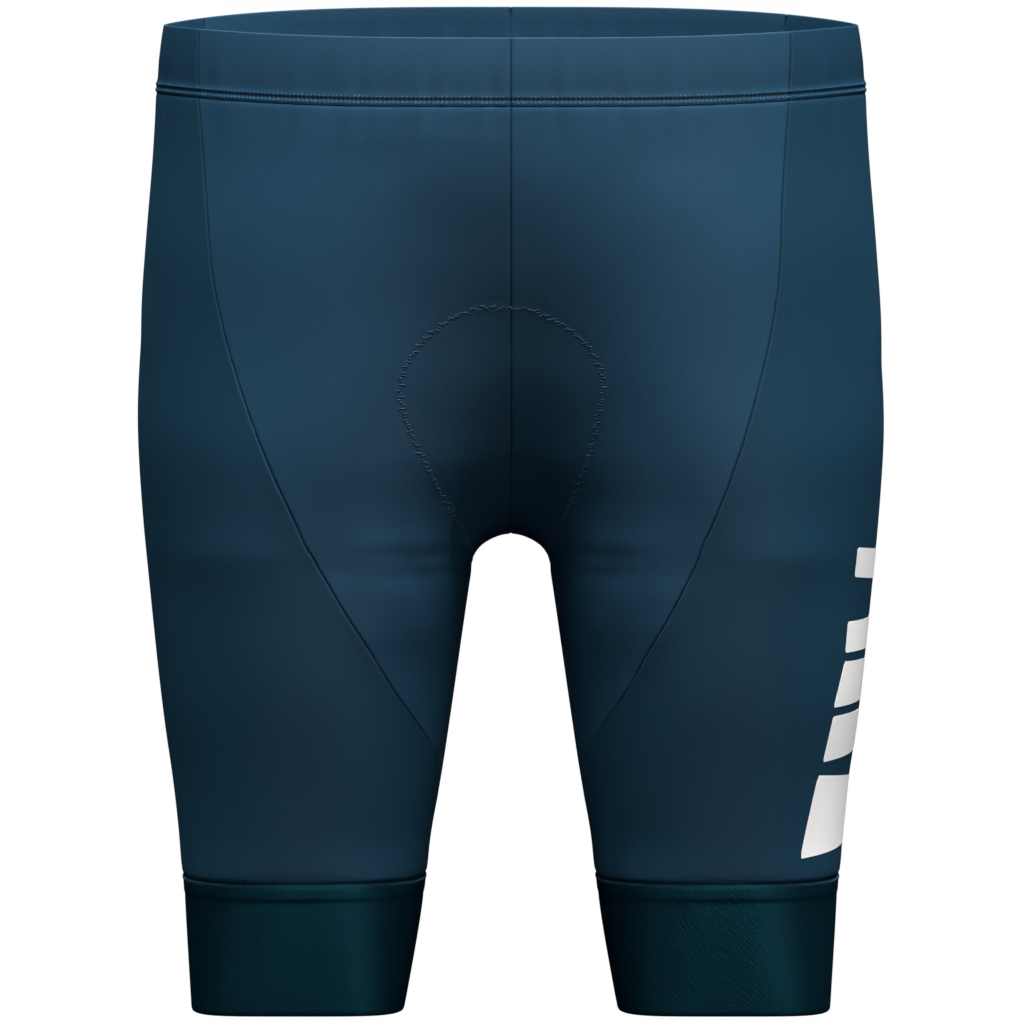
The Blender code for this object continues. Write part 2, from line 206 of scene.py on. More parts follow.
def at_angle(angle, z):
    """Point of a leg's ring: angle 0 is its inner side, a half turn its outer side, and the front lies between."""
    middle, half = ring_middle_and_half(z)
    power = 2 / section("square", z)
    across = -np.sign(np.cos(angle)) * np.abs(np.cos(angle)) ** power
    ahead = -np.sign(np.sin(angle)) * np.abs(np.sin(angle)) ** power
    x = np.sqrt(np.maximum((middle + half * across) ** 2 - SPAN**2, 0))
    y = ahead * np.where(ahead < 0, front_depth(x, z), section("back", z))
    return np.stack([x, y, z + np.zeros_like(x)], axis=-1)


def front_angle(x, z):
    """Angle at which the front of a ring is x from the centre line. The back's is a full turn less this."""
    middle, half = ring_middle_and_half(z)
    across = np.clip((np.hypot(x, SPAN) - middle) / half, -1, 1)
    return np.arccos(-np.sign(across) * np.abs(across) ** (section("square", z) / 2))


def lengths_along(line):
    steps = np.linalg.norm(np.diff(line, axis=0), axis=1)
    return np.concatenate([[0], np.cumsum(steps)])


def points_along(line, wanted):
    reached = lengths_along(line)
    return np.stack([np.interp(wanted, reached, line[:, axis]) for axis in range(3)], axis=1)


def divided(line, count, closer=1.0):
    share = np.linspace(0, 1, count + 1) ** closer
    return points_along(line, share * lengths_along(line)[-1])


def seam_angle(z, side):
    """Angle of the front's curved seam on the ring of one leg: side is 1 for the wearer's left, -1 for the right."""
    drawn = np.clip((z - SHIFT_END) / (BAND_Z - SHIFT_END), 0, 1)
    return along_table(CURVED_SEAM, "angle", z) - side * SEAM_SHIFT * drawn


def centre_curve(facing, count):
    """The centre seam, from the waistband down the front or the back to the crotch."""
    z = CROTCH_Z + (BAND_Z - CROTCH_Z) * np.linspace(1, 0, FINE) ** 2
    angle = front_angle(np.zeros_like(z), z)
    line = at_angle(angle if facing == "front" else 2 * np.pi - angle, z)
    line[:, 0] = 0
    return divided(line, count)


def inseam_curve(count):
    """The inseam, from the crotch down to the tip where the curved seams meet it."""
    z = CROTCH_Z + (TIP_Z - CROTCH_Z) * np.linspace(0, 1, FINE) ** 2
    return divided(at_angle(np.zeros_like(z), z), count, CLOSER)


def patch(top, bottom, left, right):
    """Grid of points filled in between four edges: rows run from left to right, the first row is the top edge."""
    u = np.linspace(0, 1, len(top))[None, :, None] ** CLOSER
    v = np.linspace(0, 1, len(left))[:, None, None]
    across = left[:, None] * (1 - u) + right[:, None] * u
    down = top[None] * (1 - v) + bottom[None] * v
    corners = (top[0] * (1 - u) + top[-1] * u) * (1 - v) + (bottom[0] * (1 - u) + bottom[-1] * u) * v
    return across + down - corners


def panel_points(facing, side, rows=120, columns=70):
    """The front or the back panel of one side: centre seam, waist, curved seam and upper inseam are its edges."""
    z = np.linspace(BAND_Z, TIP_Z, rows + 1)
    angle = seam_angle(z, side)
    top_angle = np.linspace(front_angle(0.0, BAND_Z), angle[0], FINE)
    if facing == "back":
        angle, top_angle = 2 * np.pi - angle, 2 * np.pi - top_angle
    top = divided(at_angle(top_angle, BAND_Z + np.zeros(FINE)), columns, CLOSER)
    top[0, 0] = 0
    grid = patch(top, inseam_curve(columns), centre_curve(facing, rows), at_angle(angle, z))
    grid[1:-1, 1:-1] = settled(grid[1:-1, 1:-1])
    return grid


def side_points(side, rows=120, columns=140):
    """The side panel, row by row, from the front's curved seam round the outside of the leg to the back's."""
    made = []
    for z in np.linspace(BAND_Z, GRIPPER_Z, rows + 1):
        start = float(seam_angle(z, side))
        angle = np.linspace(start, 2 * np.pi - start, FINE)
        made.append(divided(at_angle(angle, z + np.zeros(FINE)), columns))
    return np.stack(made)


def worn(points):
    """Lifts the back of the waist, and lets its front dip and its sides rise a little."""
    points = points.copy()
    share = np.clip(points[..., 1] / RIM_DEPTH, -1, 1)
    points[..., 2] += np.polyval(RIM_LIFT, share) * rise(points[..., 2], BAND_Z - RIM_FADE, RIM_FADE)
    return points


def mirrored(points, side):
    return points * np.array([side, 1, 1])


# ---- The relief that the cloth takes in wear, the same for every piece that lies on it ----

# A soft trough in the cloth from a to b on one leg's ring, or a ridge where depth is below zero. sag: how far its
# middle hangs below the straight line.
Crease = namedtuple("Crease", "side angle_a z_a angle_b z_b sag width depth")
CREASES = (
    # Drag lines from the crotch out over the front of the thighs, the first beside the lower edge of the pad.
    Crease(-1, 0.92, -0.212, 0.45, -0.246, 0.001, 0.0022, 0.0011),
    Crease(1, 0.90, -0.214, 0.45, -0.246, 0.001, 0.0022, 0.0006),
    Crease(-1, 1.12, -0.228, 0.62, -0.262, 0.002, 0.0070, 0.0003),
    Crease(1, 1.08, -0.232, 0.60, -0.268, 0.002, 0.0075, 0.0003),
    # Slack below the waistband at the front.
    Crease(-1, 0.98, -0.040, 1.30, -0.082, 0.004, 0.0150, 0.0003),
    Crease(1, 1.00, -0.045, 1.26, -0.075, 0.003, 0.0130, 0.0004),
    Crease(-1, 1.75, -0.038, 1.85, -0.066, 0.002, 0.0120, 0.0003),
    Crease(1, 1.80, -0.038, 1.95, -0.062, 0.002, 0.0120, 0.0003),
    # Under the seat, and from the crotch out over the backs of the thighs.
    Crease(-1, 5.36, -0.232, 4.72, -0.252, 0.004, 0.0070, 0.0013),
    Crease(1, 5.40, -0.230, 4.66, -0.254, 0.005, 0.0070, 0.0014),
    Crease(-1, 5.62, -0.240, 5.08, -0.272, 0.003, 0.0050, 0.0010),
    Crease(1, 5.60, -0.242, 5.00, -0.276, 0.003, 0.0055, 0.0009),
    Crease(-1, 5.70, -0.214, 5.42, -0.190, 0.002, 0.0045, 0.0008),
    Crease(1, 5.72, -0.212, 5.40, -0.186, 0.002, 0.0045, 0.0008),
    # Slack below the waistband at the back, in the hollow of the spine and beside it.
    Crease(-1, 5.30, -0.040, 5.02, -0.074, 0.003, 0.0095, 0.0008),
    Crease(1, 5.28, -0.042, 4.98, -0.078, 0.003, 0.0095, 0.0008),
    Crease(-1, 4.40, -0.040, 4.24, -0.064, 0.002, 0.0080, 0.0005),
    Crease(1, 4.36, -0.038, 4.22, -0.068, 0.002, 0.0080, 0.0006),
    # Faint pulls at the outside of the hip and down the thigh.
    Crease(-1, 3.30, -0.120, 2.86, -0.170, 0.004, 0.0120, 0.0005),
    Crease(1, 3.34, -0.124, 2.90, -0.176, 0.004, 0.0120, 0.0005),
    Crease(-1, 3.60, -0.300, 3.10, -0.352, 0.003, 0.0110, 0.0005),
    Crease(1, 3.52, -0.304, 3.04, -0.350, 0.003, 0.0110, 0.0005),
)
CREASE_POINTS = 14
CREASE_REACH = 0.12  # past this distance from its middle a crease isn't worked out
CREASE_LIP = (0.35, 2.1)  # the cloth rises beside a trough: by what share of its depth, and how many widths away
CREASE_ENDS = (0.02, 0.98)
CREASE_FADE = 0.7  # below 1 a crease keeps its depth nearer to its ends

PUCKERS = ((0.0290, 0.3, 0.30), (0.0172, 1.9, 0.34), (0.0114, 4.1, 0.22))  # length, phase and share of each wave
PUCKER = 0.00055
PUCKER_Z = BAND_Z + 0.003
PUCKER_REACH = 0.013
WAIST_RADIUS = 0.135

GRIP_SWELL = 0.0004
GRIP_SWELL_REACH = 0.0052
GRIP_UNEVEN = (0.22, 0.12)  # shares of the swell that rise and fall twice, and five times, round the leg

PAD_TROUGH = 0.00006
PAD_TROUGH_WIDTH = 0.0021
PAD_TROUGH_LIP = (0.3, 2.2)
PAD_NEAR_X = 0.085
PAD_NEAR_Z = PAD_TOP_Z + 0.02

# How far the front falls back beside the centre seam, beyond the hollow of the solids, and how far the cloth on the
# seam itself stays out.
Valley = namedtuple("Valley", "z right left plump")
VALLEY = (
    Valley(-0.0450, 0.0000, 0.0000, 0.0000),
    Valley(-0.0650, 0.0012, 0.0001, 0.0003),
    Valley(-0.0900, 0.0034, 0.0012, 0.0013),
    Valley(-0.1200, 0.0056, 0.0032, 0.0026),
    Valley(-0.1500, 0.0068, 0.0052, 0.0038),
    Valley(-0.1900, 0.0069, 0.0064, 0.0028),
    Valley(-0.2150, 0.0059, 0.0058, 0.0008),
    Valley(-0.2350, 0.0032, 0.0032, 0.0000),
    Valley(-0.2500, 0.0009, 0.0009, 0.0000),
    Valley(-0.2700, 0.0000, 0.0000, 0.0000),
)
VALLEY_WIDTH = 0.078
PLUMP_WIDTH = 0.040
VALLEY_BLEND = 0.020  # distance from the centre seam within which one side's depth passes into the other's

# Start and reach of each rise, and centre and width of each bell, that shape the fullness of the thighs and hips.
ON_FRONT = (0.020, 0.050)
THIGH_FULL = 0.0035
THIGH_RISE = (0.012, 0.016)
THIGH_FALL = (0.050, 0.037)
BESIDE_CROTCH = 0.0031
BESIDE_CROTCH_X = (0.033, 0.014)
ON_FLANK = (0.015, 0.060)
HIP_FULL = 0.0016
HIP_RISE = (0.050, 0.050)
HIP_Z = (-0.098, 0.034)
THIGH_HOLLOW = 0.0030
HOLLOW_RISE = (0.040, 0.040)
HOLLOW_Z = (-0.246, 0.042)
KNEE_SLIM = 0.0015
KNEE_RISE = (-0.095, 0.040)
KNEE_Z = (-0.372, 0.022)

# What share of the thighs' fullness there is at each height.
Fullness = namedtuple("Fullness", "z share")
FULLNESS = (
    Fullness(-0.200, 0.00),
    Fullness(-0.215, 0.07),
    Fullness(-0.224, 0.24),
    Fullness(-0.233, 0.66),
    Fullness(-0.240, 0.87),
    Fullness(-0.247, 0.72),
    Fullness(-0.256, 0.62),
    Fullness(-0.270, 0.46),
    Fullness(-0.285, 0.18),
    Fullness(-0.303, 0.00),
)


def valley(points, side):
    """Its depth at points of one side. A side of 0 stands for points that lie on both."""
    x, y, z = points.T
    x = side * x if side else x
    share = 0.5 + 0.5 * np.tanh(x / VALLEY_BLEND)
    depth = along_table(VALLEY, "right", z) * (1 - share) + along_table(VALLEY, "left", z) * share
    plump = along_table(VALLEY, "plump", z)
    return (depth * bell(x, 0, VALLEY_WIDTH) - plump * bell(x, 0, PLUMP_WIDTH)) * rise(-y, *ON_FRONT)


def thighs(points):
    """How far the cloth fills out over the inner half of each thigh, beside the crotch and below it."""
    x, y, z = points.T
    inner = THIGH_FULL * rise(x, *THIGH_RISE) * (1 - rise(x, *THIGH_FALL))
    beside = BESIDE_CROTCH * bell(x, *BESIDE_CROTCH_X)
    return (inner + beside) * along_table(FULLNESS, "share", z) * rise(-y, *ON_FRONT)


def front_flanks(points):
    """How far the front and its flanks stand out over the hip bones, and fall in over the upper thighs."""
    x, y, z = points.T
    hip = HIP_FULL * rise(x, *HIP_RISE) * bell(z, *HIP_Z)
    hollow = THIGH_HOLLOW * rise(x, *HOLLOW_RISE) * bell(z, *HOLLOW_Z)
    return (hip - hollow) * rise(-y, *ON_FLANK)


def slimmer(points):
    """How far the cloth draws in on the inner side of each leg, round the top of the gripper."""
    x, _, z = points.T
    return KNEE_SLIM * rise(-x, *KNEE_RISE) * bell(z, *KNEE_Z)


def distance_to(line, points):
    """Distance of each point to a line given by its own points, and how far along the line, 0 to 1, the nearest is."""
    best, place = np.full(len(points), 1.0), np.zeros(len(points))
    for index in range(len(line) - 1):
        start, run = line[index], line[index + 1] - line[index]
        share = np.clip((points - start) @ run / (run @ run), 0, 1)
        away = np.linalg.norm(points - start - share[:, None] * run, axis=1)
        nearer = away < best
        best[nearer] = away[nearer]
        place[nearer] = (index + share[nearer]) / (len(line) - 1)
    return best, place


def trough(away, width, lip, lip_at):
    """Depth at a distance from the middle of a trough, as a share of its greatest, below zero on the lip beside it."""
    across = away / width
    return bell(across, 0, 1) - lip * bell(across, lip_at, 1)


def creased(points, side):
    """How far the creases of one side draw the cloth in."""
    t = np.linspace(0, 1, CREASE_POINTS)
    drawn = np.zeros(len(points))
    for crease in CREASES:
        if crease.side != side:
            continue
        line = at_angle(
            crease.angle_a + (crease.angle_b - crease.angle_a) * t,
            crease.z_a + (crease.z_b - crease.z_a) * t - 4 * crease.sag * t * (1 - t),
        )
        near = np.linalg.norm(points - line[CREASE_POINTS // 2], axis=1) < CREASE_REACH
        away, place = distance_to(line, points[near])
        fade = np.sin(np.pi * np.clip(place, *CREASE_ENDS)) ** CREASE_FADE
        drawn[near] += crease.depth * fade * trough(away, crease.width, *CREASE_LIP)
    return drawn


def puckered(points, side):
    """How far the cloth puckers, a little below and above the coverstitch that gathers it."""
    x, y, z = points.T
    way = np.arctan2(side * x, -y) * WAIST_RADIUS
    wave = sum(share * np.sin(2 * np.pi * way / length + phase) for length, phase, share in PUCKERS)
    return PUCKER * wave * bell(z, PUCKER_Z, PUCKER_REACH)


def swollen(points, side):
    """How far the body cloth swells over the top of each gripper, unevenly round the leg."""
    x, y, z = points.T
    turn = np.arctan2(y, x - LEG_X)
    lift = np.clip((z - GRIPPER_Z) / GRIP_SWELL_REACH, 0, 8)
    uneven = 1 + GRIP_UNEVEN[0] * np.sin(2 * turn + 0.6 * side) + GRIP_UNEVEN[1] * np.sin(5 * turn + 1.4)
    return GRIP_SWELL * uneven * lift * np.exp(1 - lift)


def drawn_by_stitching(points, side):
    """How far the stitching round the pad draws the cloth in."""
    near = (points[:, 0] < PAD_NEAR_X) & (points[:, 2] < PAD_NEAR_Z)
    away, _ = distance_to(PAD_OUTLINE[side], points[near])
    drawn = np.zeros(len(points))
    drawn[near] = PAD_TROUGH * trough(away, PAD_TROUGH_WIDTH, *PAD_TROUGH_LIP)
    return drawn


def relief(grid, side):
    """How far the cloth stands out from the form at each point of a grid on one side."""
    points = grid.reshape(-1, 3)
    out = thighs(points) + front_flanks(points) + puckered(points, side) + swollen(points, side)
    drawn = valley(points, side) + slimmer(points) + creased(points, side) + drawn_by_stitching(points, side)
    return (out - drawn).reshape(grid.shape[:-1])


def under_crotch():
    """The front and back panels as one grid: rows run over the body from right to left, the first row is at the front
    of the waist, the middle one lies along the inseams, and the last is at the back of the waist."""
    halves = []
    for side in (-1, 1):
        front, back = (panel_points(facing, side, PANEL_ROWS, PANEL_COLUMNS) for facing in ("front", "back"))
        halves.append(mirrored(np.concatenate([front, back[-2::-1]]), side))
    right, left = halves
    return np.concatenate([right[:, :0:-1], left], axis=1)


def between_rows(grid, place):
    low = min(int(place), len(grid) - 2)
    share = place - low
    return grid[low] * (1 - share) + grid[low + 1] * share


PAD_STEP = 0.0030
PAD_COLUMNS = 22
PANEL_ROWS, PANEL_COLUMNS = 90, 50  # of the panels that the pad is laid out on


def pad_points():
    """Grid of the pad on the form, from its front end under the crotch to its back end."""
    panels = under_crotch()
    middle = panels.shape[1] // 2
    centre = panels[:, middle]
    reached = lengths_along(centre)
    front = centre[: len(centre) // 2, 2]
    first = np.interp(-PAD_TOP_Z, -front, reached[: len(front)])
    length = PAD_ROWS[-1].along
    along = np.linspace(0, length, round(length / PAD_STEP) + 1)
    table = {column: [getattr(row, column) for row in PAD_ROWS] for column in PadRow._fields}
    share = np.linspace(0, 1, PAD_COLUMNS + 1)
    rows = []
    for at in along:
        row = between_rows(panels, np.interp(at + first, reached, np.arange(len(reached))))
        right = points_along(row[middle::-1], share * np.interp(at, table["along"], table["right"]))
        left = points_along(row[middle:], share * np.interp(at, table["along"], table["left"]))
        rows.append(np.concatenate([right[:0:-1], left]))
    return np.stack(rows)


PAD_GRID = settled(pad_points())
PAD_MIDDLE = PAD_GRID.shape[1] // 2
PAD_OUTLINE = {
    -1: mirrored(np.concatenate([PAD_GRID[0, PAD_MIDDLE:0:-1], PAD_GRID[:, 0], PAD_GRID[-1, 1 : PAD_MIDDLE + 1]]), -1),
    1: np.concatenate([PAD_GRID[0, PAD_MIDDLE:-1], PAD_GRID[:, -1], PAD_GRID[-1, -2 : PAD_MIDDLE - 1 : -1]]),
}


def moved_out(grid, out):
    flat = grid.reshape(-1, 3)
    return (flat + outward(flat) * out.reshape(-1, 1)).reshape(grid.shape)


def laid(grid, side, out=0.0):
    """A grid of points on the form, moved out with the cloth's relief and by a distance more, and put on its side."""
    return mirrored(worn(moved_out(grid, relief(grid, side) + out)), side)


# ---- Finishes ----


def linear(code):
    """Linear colour of an sRGB hex value."""
    parts = [int(code[i : i + 2], 16) / 255 for i in (1, 3, 5)]
    return [c / 12.92 if c <= 0.04045 else ((c + 0.055) / 1.055) ** 2.4 for c in parts] + [1.0]


def add(tree, kind, inputs=None, **settings):
    """Adds a node. inputs: a value or another node's output for each of its sockets."""
    made = tree.nodes.new(kind)
    for name, value in settings.items():
        setattr(made, name, value)
    for socket, value in (inputs or {}).items():
        if isinstance(value, bpy.types.NodeSocket):
            tree.links.new(value, made.inputs[socket])
        else:
            made.inputs[socket].default_value = value
    return made


def new_material(name):
    material = bpy.data.materials.new(name)
    material.use_nodes = True
    tree = material.node_tree
    tree.nodes.clear()
    return material, tree


def shaded(tree, sockets):
    shader = add(tree, "ShaderNodeBsdfPrincipled", sockets)
    add(tree, "ShaderNodeOutputMaterial", {"Surface": shader.outputs["BSDF"]})


FIBRE_IOR = 1.5
COURSE = 0.0010
# How much lighter the inner side of the waistband is coloured, and over what length down from the rim the lightening
# grows: partly the lighter back of the knit, partly painted light standing in for the light that the band's other side
# keeps from it.
INNER_LIGHTER_WITH_PAINTED_LIGHT = 2.1
INNER_PAINTED_LIGHT_REACH = 0.012


def dyed_and_raised(tree, colour, tone, grain, bump, finish):
    """Ends a material: its colour, darker and lighter with the tone, and a bump of its grain, by strength and depth."""
    dyed = add(tree, "ShaderNodeVectorMath", {0: linear(colour)[:3], "Scale": tone}, operation="SCALE").outputs[0]
    raised = add(tree, "ShaderNodeBump", {"Height": grain, "Strength": bump[0], "Distance": bump[1]}).outputs[0]
    shaded(tree, {"Base Color": dyed, "Normal": raised, "IOR": FIBRE_IOR, **finish})


def knit_cloth(name, colour, turn, inner_from=None):
    """Warp-knit nylon and elastane, piece-dyed: a smooth close face with a soft broad sheen and hardly any grain.

    Past inner_from, a length up its map, lies the side worn inwards. Its colour is lightened, partly as the lighter
    back of the knit and partly as painted light, which grows over the first 12 mm down from the rim, where the band's
    other side shades it."""
    material, tree = new_material(name)
    where = add(tree, "ShaderNodeUVMap", uv_map="cloth").outputs["UV"]
    # Courses lie 0.3 mm apart on the real cloth, too fine to show, so they are drawn 1 mm apart.
    turned = add(tree, "ShaderNodeMapping", {"Vector": where, "Rotation": (0, 0, turn)}).outputs[0]
    course = add(tree, "ShaderNodeMapping", {"Vector": turned, "Scale": (0.30 / COURSE, 1 / COURSE, 1)}).outputs[0]
    streaks = add(tree, "ShaderNodeTexNoise", {"Vector": course, "Scale": 1.0, "Detail": 2.0, "Roughness": 0.6})
    grain = streaks.outputs["Fac"]
    cloud = add(tree, "ShaderNodeTexNoise", {"Vector": where, "Scale": 22.0, "Detail": 2.0}).outputs["Fac"]
    tone = add(tree, "ShaderNodeMapRange", {"Value": grain, 1: 0.30, 2: 0.70, "To Min": 0.93, "To Max": 1.07})
    drift = add(tree, "ShaderNodeMapRange", {"Value": cloud, 1: 0.30, 2: 0.70, "To Min": 0.97, "To Max": 1.03})
    both = add(tree, "ShaderNodeMath", {0: tone.outputs[0], 1: drift.outputs[0]}, operation="MULTIPLY")
    if inner_from:
        # Partly painted light: past the top of the fold the colour is lightened more and more down the inner side,
        # where the band's other side shades it. The rest is the lighter back of the knit.
        up = add(tree, "ShaderNodeSeparateXYZ", {0: where}).outputs["Y"]
        inner_painted_light_ramp = {"Value": up, 1: inner_from, 2: inner_from + INNER_PAINTED_LIGHT_REACH, "To Min": 1.0, "To Max": INNER_LIGHTER_WITH_PAINTED_LIGHT}
        inner = add(tree, "ShaderNodeMapRange", inner_painted_light_ramp).outputs[0]
        both = add(tree, "ShaderNodeMath", {0: both.outputs[0], 1: inner}, operation="MULTIPLY")
    finish = {"Roughness": 0.56, "Specular IOR Level": 0.04}
    dyed_and_raised(tree, colour, both.outputs[0], grain, (0.35, 0.00012), finish)
    return material


def gripper_elastic():
    """Wide raschel elastic with a satin face: dark teal, a fine slanting rib and a soft upright gleam."""
    material, tree = new_material("satin_raschel_elastic")
    where = add(tree, "ShaderNodeUVMap", uv_map="cloth").outputs["UV"]
    # The ribs lie 0.4 mm apart, too fine to show, so they are drawn 1.1 mm apart.
    turned = add(tree, "ShaderNodeMapping", {"Vector": where, "Rotation": (0, 0, 0.62)}).outputs[0]
    slant = add(tree, "ShaderNodeMapping", {"Vector": turned, "Scale": (900, 130, 1)}).outputs[0]
    ribs = add(tree, "ShaderNodeTexNoise", {"Vector": slant, "Scale": 1.0, "Detail": 1.0}).outputs["Fac"]
    fine = add(tree, "ShaderNodeTexNoise", {"Vector": where, "Scale": 1100.0, "Detail": 2.0}).outputs["Fac"]
    height = add(tree, "ShaderNodeMath", {0: ribs, 1: fine}, operation="ADD").outputs[0]
    tone = add(tree, "ShaderNodeMapRange", {"Value": height, 1: 0.6, 2: 1.4, "To Min": 0.80, "To Max": 1.20})
    finish = {"Roughness": 0.40, "Specular IOR Level": 0.25, "Specular Tint": linear("#41A8C2")}
    dyed_and_raised(tree, "#02121A", tone.outputs[0], height, (0.60, 0.00022), finish)
    return material


def sewing_thread(name, colour):
    """Textured polyester thread, a little lighter than the cloth: it catches the light on each stitch."""
    material, tree = new_material(name)
    where = add(tree, "ShaderNodeTexCoord").outputs["Object"]
    # Fibres of about 0.15 mm.
    fibre = add(tree, "ShaderNodeTexNoise", {"Vector": where, "Scale": 2600.0, "Detail": 2.0}).outputs["Fac"]
    tone = add(tree, "ShaderNodeMapRange", {"Value": fibre, 1: 0.3, 2: 0.7, "To Min": 0.8, "To Max": 1.2})
    finish = {"Roughness": 0.75, "Specular IOR Level": 0.12}
    dyed_and_raised(tree, colour, tone.outputs[0], fibre, (0.5, 0.0001), finish)
    return material


def brushed_fleece():
    """Brushed polyester fleece on thin foam: matt, with a short nap that lifts at grazing angles."""
    material, tree = new_material("brushed_pad_fleece")
    where = add(tree, "ShaderNodeTexCoord").outputs["Object"]
    # Tufts of the nap, about 0.8 mm.
    tufts = add(tree, "ShaderNodeTexNoise", {"Vector": where, "Scale": 1200.0, "Detail": 3.0, "Roughness": 0.7})
    nap = tufts.outputs["Fac"]
    tone = add(tree, "ShaderNodeMapRange", {"Value": nap, 1: 0.3, 2: 0.7, "To Min": 0.85, "To Max": 1.15})
    finish = {"Roughness": 0.95, "Specular IOR Level": 0.2, "Sheen Weight": 0.3, "Sheen Roughness": 0.6}
    dyed_and_raised(tree, "#33485A", tone.outputs[0], nap, (0.6, 0.0003), finish)
    return material


def transfer_film():
    """Heat-pressed polyurethane film, off-white and matt, through which the cloth's grain just shows."""
    material, tree = new_material("white_transfer_film")
    where = add(tree, "ShaderNodeUVMap", uv_map="cloth").outputs["UV"]
    grain = add(tree, "ShaderNodeTexNoise", {"Vector": where, "Scale": 1100.0, "Detail": 2.0}).outputs["Fac"]
    tone = add(tree, "ShaderNodeMapRange", {"Value": grain, 1: 0.3, 2: 0.7, "To Min": 0.97, "To Max": 1.0})
    finish = {"Roughness": 0.5, "Specular IOR Level": 0.4}
    dyed_and_raised(tree, "#D4D4D3", tone.outputs[0], grain, (0.25, 0.0001), finish)
    return material


CROSSWISE = 1.45  # turn of the grain where a panel is cut across the knit
FRONT_KNIT = knit_cloth("petrol_warp_knit", "#173346", 0.0)
# The side panels are coloured a shade darker than the front ones, though they are the same knit: painted shade of the
# flanks that round away from the lamps.
SIDE_KNIT_PAINTED_SHADE = knit_cloth("petrol_warp_knit_crosswise_painted_shade", "#112C3C", CROSSWISE)
ELASTIC = gripper_elastic()
COVER_THREAD = sewing_thread("coverstitch_thread", "#1E4257")
PAD_THREAD = sewing_thread("pad_stitch_thread", "#1E3447")
TICK_THREAD = sewing_thread("gripper_stitch_thread", "#11323F")
SEAM_THREAD = sewing_thread("seam_thread", "#15303F")
FLEECE = brushed_fleece()
FILM = transfer_film()

# ---- Making pieces ----

collection = bpy.data.collections.new("dressed_shorts")
bpy.context.scene.collection.children.link(collection)


def add_grid(shape, points, ways=None):
    """A grid of faces with its vertices laid on an array of points, and its map laid on an array of ways."""
    rows, columns = points.shape[:2]
    made = bmesh.ops.create_grid(shape, x_segments=columns - 1, y_segments=rows - 1, size=1)["verts"]
    for vertex, place in zip(made, points.reshape(-1, 3)):
        vertex.co = place
    if ways is None:
        return made
    layer = shape.loops.layers.uv.get("cloth") or shape.loops.layers.uv.new("cloth")
    way_of = dict(zip(made, ways.reshape(-1, 2)))
    for face in {face for vertex in made for face in vertex.link_faces}:
        for loop in face.loops:
            loop[layer].uv = way_of[loop.vert]
    return made


def face_outwards(shape, middle, number=None):
    """Turns the faces of a sheet over if one on its outer side faces the upright line through the middle of the piece.

    number: that face. Without it, the one halfway through the sheet."""
    shape.faces.ensure_lookup_table()
    shape.normal_update()
    face = shape.faces[len(shape.faces) // 2 if number is None else number]
    away = face.calc_center_median() - Vector(middle)
    away.z = 0
    if face.normal.dot(away) < 0:
        bmesh.ops.reverse_faces(shape, faces=shape.faces[:])


def finished(name, shape, material, nodes=(), thick=0.0):
    mesh = bpy.data.meshes.new(name)
    shape.to_mesh(mesh)
    shape.free()
    mesh.materials.append(material)
    mesh.shade_smooth()
    piece = bpy.data.objects.new(name, mesh)
    collection.objects.link(piece)
    if thick:
        wall = piece.modifiers.new("cloth thickness", "SOLIDIFY")
        wall.thickness = thick
        wall.offset = -1
    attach(piece, "root")
    if nodes:
        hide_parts(*nodes)
    return piece


HUG = np.array([0.0, 0.0003, 0.0007, 0.0013, 0.0024])  # lines that hug a panel's edges, where the cloth rolls in
SEAM_ROLL, SEAM_ROLL_WIDTH = 0.00060, 0.00040
SEAM_RIDGE, SEAM_RIDGE_REACH = 0.00010, 0.0015
TOP_ROLL, TOP_ROLL_WIDTH = 0.00015, 0.0008
TOP_RIDGE, TOP_RIDGE_REACH = 0.00012, 0.0022
HEM_ROLL, HEM_ROLL_WIDTH = 0.0003, 0.0006
FRONT_RIDGES = (SEAM_RIDGE, SEAM_RIDGE * 0.6)  # beside the centre seam and the curved one
SIDE_RIDGES = (SEAM_RIDGE * 1.4, SEAM_RIDGE * 1.4)
CLOTH = 0.0009
STEP = 0.0023
SIDE_STEP = 0.0034


def hugging(line, count):
    """The line again: close points by its ends and even ones between."""
    length = lengths_along(line)[-1]
    inner = np.linspace(HUG[-1], length - HUG[-1], count)[1:-1]
    return points_along(line, np.concatenate([HUG, inner, (length - HUG)[::-1]]))


def refined(grid, step):
    """The grid with its lines a step apart, and closer by its edges."""
    across = math.ceil(max(lengths_along(row)[-1] for row in grid) / step)
    grid = np.stack([hugging(row, across) for row in grid])
    down = math.ceil(max(lengths_along(row)[-1] for row in grid.swapaxes(0, 1)) / step)
    grid = np.stack([hugging(row, down) for row in grid.swapaxes(0, 1)]).swapaxes(0, 1)
    grid[1:-1, 1:-1] = settled(grid[1:-1, 1:-1])
    return grid


def lengths_of(grid):
    """For each point of a grid, the length along its row and down its column, from both ends of each."""
    across = np.stack([lengths_along(row) for row in grid])
    down = np.stack([lengths_along(row) for row in grid.swapaxes(0, 1)]).T
    return across, across[:, -1:] - across, down, down[-1:] - down


def ridged(distance, ridge, reach):
    """A low ridge, highest at its reach from an edge."""
    return ridge * (distance / reach) * np.exp(1 - distance / reach)


def rolled(distance, ridge):
    """Offset of the cloth beside a seam: it dips into the seam and lies over the allowance next to it."""
    return ridged(distance, ridge, SEAM_RIDGE_REACH) - SEAM_ROLL * bell(distance, 0, SEAM_ROLL_WIDTH)


